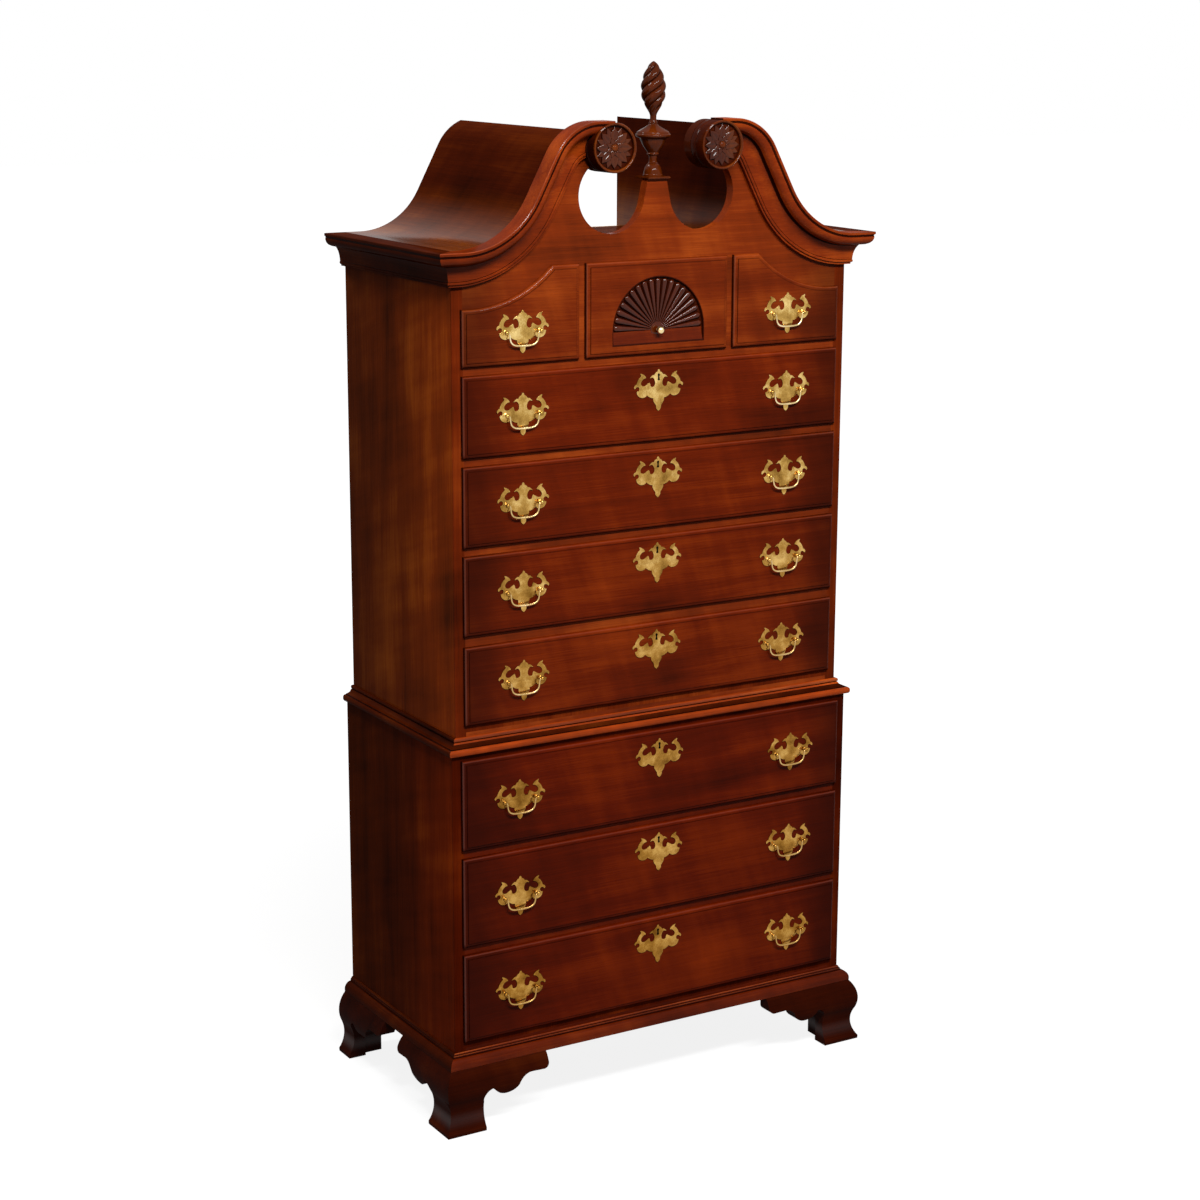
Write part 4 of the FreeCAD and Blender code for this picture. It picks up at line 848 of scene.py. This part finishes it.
finial_low, finial_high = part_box("finial")
finial_axis = (finial_low + finial_high) / 2
cap_half = 0.026
cap_top = finial_low.z + 0.004
flame_strands = 4
flame_pitch = 0.088
flame_bottom = 0.118
urn_outline = [(0.0195, 0.0), (0.0197, 0.0035), (0.0185, 0.0045), (0.0180, 0.0090), (0.0160, 0.0160),
               (0.0122, 0.0225), (0.0092, 0.0250), (0.0098, 0.0262), (0.0082, 0.0275), (0.0075, 0.0340),
               (0.0085, 0.0400), (0.0112, 0.0420), (0.0118, 0.0440), (0.0108, 0.0462), (0.0135, 0.0500),
               (0.0185, 0.0570), (0.0225, 0.0640), (0.0255, 0.0715), (0.0268, 0.0735), (0.0330, 0.0765),
               (0.0347, 0.0792), (0.0343, 0.0815), (0.0325, 0.0830), (0.0310, 0.0865), (0.0240, 0.0905),
               (0.0170, 0.0945), (0.0110, 0.0985), (0.0080, 0.1020), (0.0088, 0.1040), (0.0074, 0.1065),
               (0.0064, 0.1110), (0.0064, flame_bottom)]
flame_outline = [(0.0064, flame_bottom), (0.0085, 0.1230), (0.0130, 0.1310), (0.0185, 0.1400),
                 (0.0226, 0.1500), (0.0246, 0.1610), (0.0250, 0.1700), (0.0242, 0.1790), (0.0222, 0.1890),
                 (0.0190, 0.1980), (0.0146, 0.2070), (0.0098, 0.2145), (0.0048, 0.2195), (0.0006, 0.2222)]


def finial_cap(shape):
    bmesh.ops.create_cube(shape, size=1.0)
    size = Vector((cap_half * 2, cap_half * 2, cap_top - finial_low.z))
    for corner in shape.verts:
        corner.co = Vector([c * s for c, s in zip(corner.co, size)])
        corner.co += Vector((finial_axis.x, finial_axis.y, (cap_top + finial_low.z) / 2))
    bmesh.ops.bevel(shape, geom=shape.edges, offset=0.0011, segments=2, affect="EDGES")


def strand(radius, along, turn):
    """Radius of the flame: strands bulge, with narrow valleys that climb to the right."""
    phase = flame_strands / 2 * (turn - 2 * math.pi * (along - flame_bottom) / flame_pitch)
    depth = 0.22 * min(1.0, (along - flame_bottom) / 0.016)
    return radius * (1.0 - depth * (1 - abs(math.cos(phase)) ** 0.75))


cap_middle = (finial_axis.x, finial_axis.y, cap_top)
finial_pieces = [
    join_mesh("cap", finial_cap),
    join_mesh("urn", lambda shape: lathe(shape, smooth_line(urn_outline, 4), 72, cap_middle)),
    join_mesh("flame", lambda shape: lathe(shape, smooth_line(flame_outline, 8), 144, cap_middle,
                                           radius_at=strand))]
finial = merge("flame_finial", finial_pieces)
# The flame's valleys take the painted shade of the hollows.
settle(finial, (carved, hollow_shade), "case", angle=50)
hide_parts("finial")

# ------------------------------------------------------------
# Drawers: solid cherry fronts with a thumbnail lip that covers the gap round them, on boxes of bare wood.
# The two small ones at the top are cut to an arch that follows the crown.
# ------------------------------------------------------------

fan_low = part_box("fan_drawer_front")[0]
fan_recess = 0.006
fan_rise = 0.048
fan_centre = Vector((0, fan_low.y + fan_recess, fan_low.z + fan_rise))
fan_radius = 0.106
fan_base = 0.026


def fan_outline(place):
    """Distance from the edge of the fan's recess: an arch over a straight foot."""
    up = (place[2] - fan_centre.z).math("MAXIMUM", 0.0)
    arch = (place[0] * place[0] + up * up).math("SQRT") - fan_radius
    return arch.math("MAXIMUM", (fan_centre.z - fan_base) - place[2])


def fan_recess_floor(place):
    """Distance outwards from the recess, with all of its floor at nothing."""
    return fan_outline(place).math("MAXIMUM", 0.0)


# Small fronts: the level stretch at the inner end of the arch, its foot's distance from the outer end,
# and the height of the front there.
arch_level, arch_inset, arch_foot = 0.06192, 0.016, 0.112


def lip_of(low, high, arched):
    """Distances of a place on a drawer front from its nearest side, its bottom and its top edge."""
    def edges(place):
        ends = (place[0] - low.x).math("MINIMUM", high.x - place[0])
        top = high.z - place[2]
        if arched:
            side = 1 if low.x > 0 else -1
            inner, outer = sorted((abs(low.x), abs(high.x)))
            arch_x = outer - arch_inset
            run, rise = arch_x - inner - arch_level, high.z - low.z - arch_foot
            radius = (run * run + rise * rise) / (rise * 2)
            across = (place[0] * side - arch_x).math("MINIMUM", 0.0)
            above = low.z + arch_foot + radius - place[2]
            top = top.math("MINIMUM", (across * across + above * above).math("SQRT") - radius)
        return ends, place[2] - low.z, top
    return edges


# Painted light: the fronts are lighter row by row towards the top.
top_row_tone = (1.08, 1.30, 1.5)
front_tones = {"lower": (0.80, 0.6, 0.4), "upper": (0.95, 0.9, 0.8)}
row_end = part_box("upper_drawer_1_front")[1].x
for name in nodes:
    if name.endswith("_box"):
        dress(name, bare_side)
    elif name.endswith("_front"):
        low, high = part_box(name)
        tone = front_tones.get(name[:5], top_row_tone)
        end = high.x if name[:5] in front_tones else row_end
        # Painted shade darkens each front towards its ends (the top row's towards the ends of the row),
        # round its lip, and over the floor of the fan's recess; a painted highlight lightens the upper edges
        # of each lip.
        dress(name, cherry("cherry_" + name, "X", tone, seed=low.z * 7.0, ends=(-end, end),
                           lip=lip_of(low, high, "small" in name),
                           carving=fan_recess_floor if name.startswith("fan") else None))

# ------------------------------------------------------------
# Fan: nineteen reeds spread from a plain hub in the recess of the middle drawer, above a hollow that
# slopes out to the face.
# ------------------------------------------------------------

fan_hub = 0.015
reeds = 19
reed_step = math.pi / reeds
reed_end = fan_radius - 0.0015


def reed(shape):
    """One reed along +Z: it widens outwards, and its end rounds over."""
    rows, columns = 22, 10
    hollow = shape.faces.layers.int.new("hollow")
    grid = []
    for row in range(rows + 1):
        along = row / rows
        reach = fan_hub + (reed_end - fan_hub) * along
        half = reach * math.tan(reed_step / 2) - 0.0001
        tip = max(0.0, (reach - (reed_end - half)) / half)
        wide = half * math.sqrt(max(0.0, 1 - (tip * 0.96) ** 2))
        high = (0.0010 + 0.0044 * along ** 0.8) * math.sqrt(max(0.02, 1 - tip ** 2.4))
        line = []
        for column in range(columns + 1):
            side = column / columns * 2 - 1
            line.append(shape.verts.new((side * wide, -0.0002 - high * (1 - abs(side) ** 1.8), reach)))
        grid.append(line)
    for near, far in zip(grid, grid[1:]):
        for column in range(columns):
            face = shape.faces.new((near[column], near[column + 1], far[column + 1], far[column]))
            # The two strips at each side take the painted shade of the valleys.
            face[hollow] = 1 if column in (0, 1, columns - 2, columns - 1) else 0
    close_behind(shape, grid, hollow)


def fan_ground(shape):
    """Hub and the sloping hollow below the reeds."""
    lathe(shape, [(fan_hub + 0.001, 0.0), (fan_hub + 0.001, 0.0010), (0.004, 0.0016), (0.0004, 0.0016)], 48,
          fan_centre, front=True)
    for face in shape.faces:
        face.material_index = 1
    steps = 10
    ends = (0.0002 - fan_radius, fan_radius - 0.0002)
    rows = []
    for step in range(steps + 1):
        down = step / steps
        height = fan_centre.z - fan_base * down
        out = fan_centre.y - 0.0004 - (fan_recess - 0.0008) * down ** 1.6
        rows.append([shape.verts.new((end, out, height)) for end in ends])
    for upper, lower in zip(rows, rows[1:]):
        shape.faces.new((upper[0], lower[0], lower[1], upper[1]))
    behind = [shape.verts.new((end, fan_centre.y, rows[-1][0].co.z)) for end in ends]
    corner = [shape.verts.new((end, fan_centre.y, fan_centre.z)) for end in ends]
    shape.faces.new((rows[-1][1], rows[-1][0], behind[0], behind[1]))
    shape.faces.new((rows[0][0], rows[0][1], corner[1], corner[0]))
    shape.faces.new((behind[1], behind[0], corner[0], corner[1]))
    for side in (0, 1):
        shape.faces.new([row[side] for row in rows] + [behind[side], corner[side]])


reed_wood = cherry("cherry_reeds", "Z", (0.56, 0.72, 0.20), seed=1.7, shine=0.42, haze=0.06)
reed_pieces = apply_tree(join_mesh("reeds", reed), repeat_round, Count=reeds, Centre=tuple(fan_centre),
                         First_Angle=-math.pi / 2 + reed_step / 2, Step_Angle=reed_step, Finish=reed_wood,
                         Hollow_Finish=hollow_shade)
reed_finishes = (reed_wood, hollow_shade)
settle(renumber(reed_pieces, reed_finishes), reed_finishes, "fan_drawer", angle=50)
# Painted shade darkens the hollow along the recess's outline.
fan_wood = cherry("cherry_fan_hollow", "X", (0.8, 0.85, 0.9), seed=4.0, shine=0.12, carving=fan_outline)
settle(join_mesh("fan_ground", fan_ground), (fan_wood, reed_wood), "fan_drawer", angle=50)

# ------------------------------------------------------------
# Brasses: bat-wing plates cut from sheet, with round posts that carry cast bails, keyhole plates of the
# same pattern, and a small ball knob on the fan drawer.
# ------------------------------------------------------------


def brass(name, dark, middle_tone, bright):
    """Brass lacquer, with a painted reflection that dims towards the foot of the chest."""
    metal = Finish(name)
    x, y, z = metal.place()
    cloud = metal.noise(x * 32.0, y * 32.0, z * 32.0, detail=3.0)
    fine = metal.noise(x * 300.0, y * 300.0, z * 300.0, detail=2.0)
    colour = metal.ramp(cloud * 0.8 + fine * 0.2, (0.32, dark), (0.50, middle_tone), (0.66, bright))
    # Painted reflection: the brass dims towards the foot of the chest.
    painted_reflection_fade = metal.ramp(z * 0.5, (0.15, (0.60, 0.46, 0.28)), (0.50, (0.74, 0.62, 0.48)),
                         (0.80, (1.0, 1.0, 1.0)))
    colour = metal.mix(1.0, colour, painted_reflection_fade, "MULTIPLY")
    relief = metal.bump(cloud, 0.0008)
    body = metal.surface(Base_Color=colour, Metallic=1.0, Roughness=fine * 0.2 + 0.16, Normal=relief)
    return metal.done(body)


aged_brass = brass("aged_brass", (0.24, 0.125, 0.022), (0.50, 0.30, 0.075), (0.85, 0.62, 0.24))
rubbed_brass = brass("rubbed_brass", (0.55, 0.40, 0.17), (0.75, 0.58, 0.29), (0.95, 0.80, 0.50))
iron = Finish("black_iron")
black_iron = iron.done(iron.surface(Base_Color=(0.004, 0.003, 0.002, 1), Roughness=0.8,
                                    Specular_IOR_Level=0.0))

# Right half of the plate from the crest down to the tail, in millimetres across and down.  A third
# value of 1 marks a sharp point.
plate_half = [
    (0, 0), (2.4, 1.9), (3.2, 4.4), (7.1, 6.7), (10.8, 11.4, 1), (12.2, 10.8), (17.0, 13.0), (21.4, 17.8, 1),
    (14.6, 16.2), (12.2, 17.8), (9.5, 22.5), (8.6, 27.3), (9.8, 32.1), (13.8, 34.9), (18.6, 33.7),
    (19.7, 29.7), (21.7, 25.7, 1), (27.3, 28.9), (33.7, 32.1), (40.0, 30.5), (41.6, 25.7), (39.2, 21.0),
    (35.2, 17.8), (29.7, 16.2, 1), (30.5, 13.8), (36.8, 8.3), (43.2, 5.9, 1), (42.9, 8.3), (41.6, 10.6),
    (46.4, 16.2), (50.3, 22.5), (51.9, 27.3, 1), (56.7, 30.5), (57.8, 34.4), (55.9, 36.8, 1), (52.7, 33.7),
    (50.3, 32.9), (47.1, 33.7), (45.6, 37.6), (47.1, 40.8), (51.9, 42.4, 1), (50.3, 47.9), (46.4, 52.7),
    (38.4, 55.6), (31.3, 54.3), (27.3, 51.1, 1), (23.3, 54.3), (16.2, 57.5), (12.7, 57.8, 1), (12.7, 62.2),
    (9.8, 67.8), (6.7, 71.8, 1), (5.9, 73.5), (5.9, 76.5), (3.5, 81.3), (0, 84.1, 1)]
keyhole = [(0, 8.7), (2.7, 11.2), (1.8, 14.2), (1.7, 17.5), (2.3, 22), (0, 22.6)]
sheet_thickness = 0.0016
sheet_bevel = 0.0004


def mesh_of(curve):
    """The plain mesh of a curve with its bevel."""
    drawn = add_object("drawn", curve)
    mesh = plain_mesh(drawn)
    bpy.data.objects.remove(drawn)
    return mesh


def cut_plate(name, top, with_keyhole):
    """A plate hung from its crest at a point on the drawer face."""
    curve = bpy.data.curves.new(name, "CURVE")
    curve.dimensions = "2D"
    curve.fill_mode = "BOTH"
    curve.resolution_u = 4
    curve.extrude = sheet_thickness / 2 - sheet_bevel
    curve.bevel_depth = sheet_bevel
    curve.bevel_resolution = 1
    curve.offset = -sheet_bevel
    for outline in (plate_half, keyhole) if with_keyhole else (plate_half,):
        left = [(-point[0],) + tuple(point[1:]) for point in outline[::-1] if point[0] > 0]
        points = outline + left
        spline = curve.splines.new("BEZIER")
        spline.bezier_points.add(len(points) - 1)
        spline.use_cyclic_u = True
        for knot, point in zip(spline.bezier_points, points):
            knot.co = (point[0] / 1000, -point[1] / 1000, 0)
            kind = "VECTOR" if len(point) > 2 else "AUTO"
            knot.handle_left_type = kind
            knot.handle_right_type = kind
    mesh = mesh_of(curve)
    upright_turn = Matrix.Rotation(math.pi / 2, 4, "X")
    mesh.transform(Matrix.Translation(top - Vector((0, sheet_thickness / 2, 0))) @ upright_turn)
    return add_object(name, mesh)


plate_crest = 0.0843 / 2
post_spacing = 0.0762


def post(shape, centre):
    """Round post on a small collar, with a domed head that takes the bail's end."""
    profile = [(0.0052, 0.0013), (0.0053, 0.0022), (0.0040, 0.0028), (0.0030, 0.0036), (0.0030, 0.0046),
               (0.0040, 0.0056), (0.0046, 0.0080), (0.0040, 0.0104), (0.0024, 0.0117), (0.0003, 0.0121)]
    lathe(shape, smooth_line(profile, 3), 28, centre, front=True)


def pull(name, place):
    """Plate and two posts round a bail's axis on the drawer face."""
    pieces = [cut_plate(name, place + Vector((0, 0, plate_crest)), False)]
    for side in (-1, 1):
        centre = place + Vector((side * post_spacing / 2, 0, 0))
        pieces.append(join_mesh(name + "_post", lambda shape: post(shape, centre)))
    return pieces


def bail_wire(name, axis):
    """Cast drop handle: round wire, thickest in the middle of its grip, hung from its axis."""
    arm, drop, end = 0.0316, 0.0265, 0.0360
    half = [(end, 0.0, 0.75), (arm + 0.0022, -0.0002, 0.85), (arm + 0.0002, -0.0030, 0.95),
            (arm, -0.0085, 0.9), (arm - 0.0010, -0.0165, 1.0), (arm - 0.0050, -0.0225, 1.05),
            (arm - 0.0120, -0.0258, 1.1), (0.0085, -0.0268, 1.2)]
    points = half + [(-x, z, thick) for x, z, thick in half[::-1]]
    curve = bpy.data.curves.new(name, "CURVE")
    curve.dimensions = "3D"
    curve.bevel_depth = 0.0018
    curve.bevel_resolution = 4
    curve.resolution_u = 6
    curve.use_fill_caps = True
    spline = curve.splines.new("NURBS")
    spline.points.add(len(points) - 1)
    for knot, (x, z, thick) in zip(spline.points, points):
        knot.co = (axis.x + x, axis.y, axis.z + z, 1)
        knot.radius = thick
    spline.order_u = 4
    spline.use_endpoint_u = True
    return add_object(name, mesh_of(curve))


def lock_face(shape, crest):
    """The dark lock behind the keyhole."""
    size = Vector((0.0080, 0.0003, 0.0160))
    bmesh.ops.create_cube(shape, size=1.0)
    for corner in shape.verts:
        corner.co = Vector([c * s for c, s in zip(corner.co, size)]) + crest - Vector((0, 0.0004, 0.0157))
    for face in shape.faces:
        face.material_index = 1


hinges = {joint["child"]: joint for joint in frame["joints"] if joint["name"].endswith("_hinge")}
for drawer, members in frame["record"]["behaviour"]["bodies"].items():
    if drawer + "_brasses" not in members:
        continue
    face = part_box(drawer + "_front")[0].y
    pieces = []
    bails = [bail for bail, joint in hinges.items() if joint["parent"] == drawer]
    for bail in bails:
        axis = Vector(hinges[bail]["pos_m"])
        pieces += pull(drawer + "_pull", Vector((axis.x, face, axis.z)))
        handle = settle(bail_wire(bail + "_cast", axis), rubbed_brass, bail, angle=50)
        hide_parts(bail)
    if len(bails) == 2:
        crest = Vector((0, face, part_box(drawer + "_brasses")[1].z))
        pieces.append(cut_plate(drawer + "_escutcheon", crest, True))
        pieces.append(join_mesh(drawer + "_lock", lambda shape: lock_face(shape, crest)))
    brasses = merge(drawer + "_cut_brasses", pieces)
    settle(brasses, (aged_brass, black_iron), drawer)
    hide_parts(drawer + "_brasses")

knob_low, knob_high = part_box("fan_drawer_knob")
knob_seat = Vector((0, knob_high.y, (knob_low.z + knob_high.z) / 2))
knob_outline = [(0.0040, 0.0), (0.0040, 0.0010), (0.0026, 0.0020), (0.0024, 0.0040), (0.0034, 0.0052),
                (0.0058, 0.0066), (0.0075, 0.0092), (0.0080, 0.0121), (0.0075, 0.0149), (0.0060, 0.0174),
                (0.0040, 0.0190), (0.0018, 0.0198), (0.0002, 0.0199)]
knob = join_mesh("ball_knob", lambda shape: lathe(shape, smooth_line(knob_outline, 4), 40, knob_seat,
                                                  front=True))
settle(knob, rubbed_brass, "fan_drawer")
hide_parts("fan_drawer_knob")
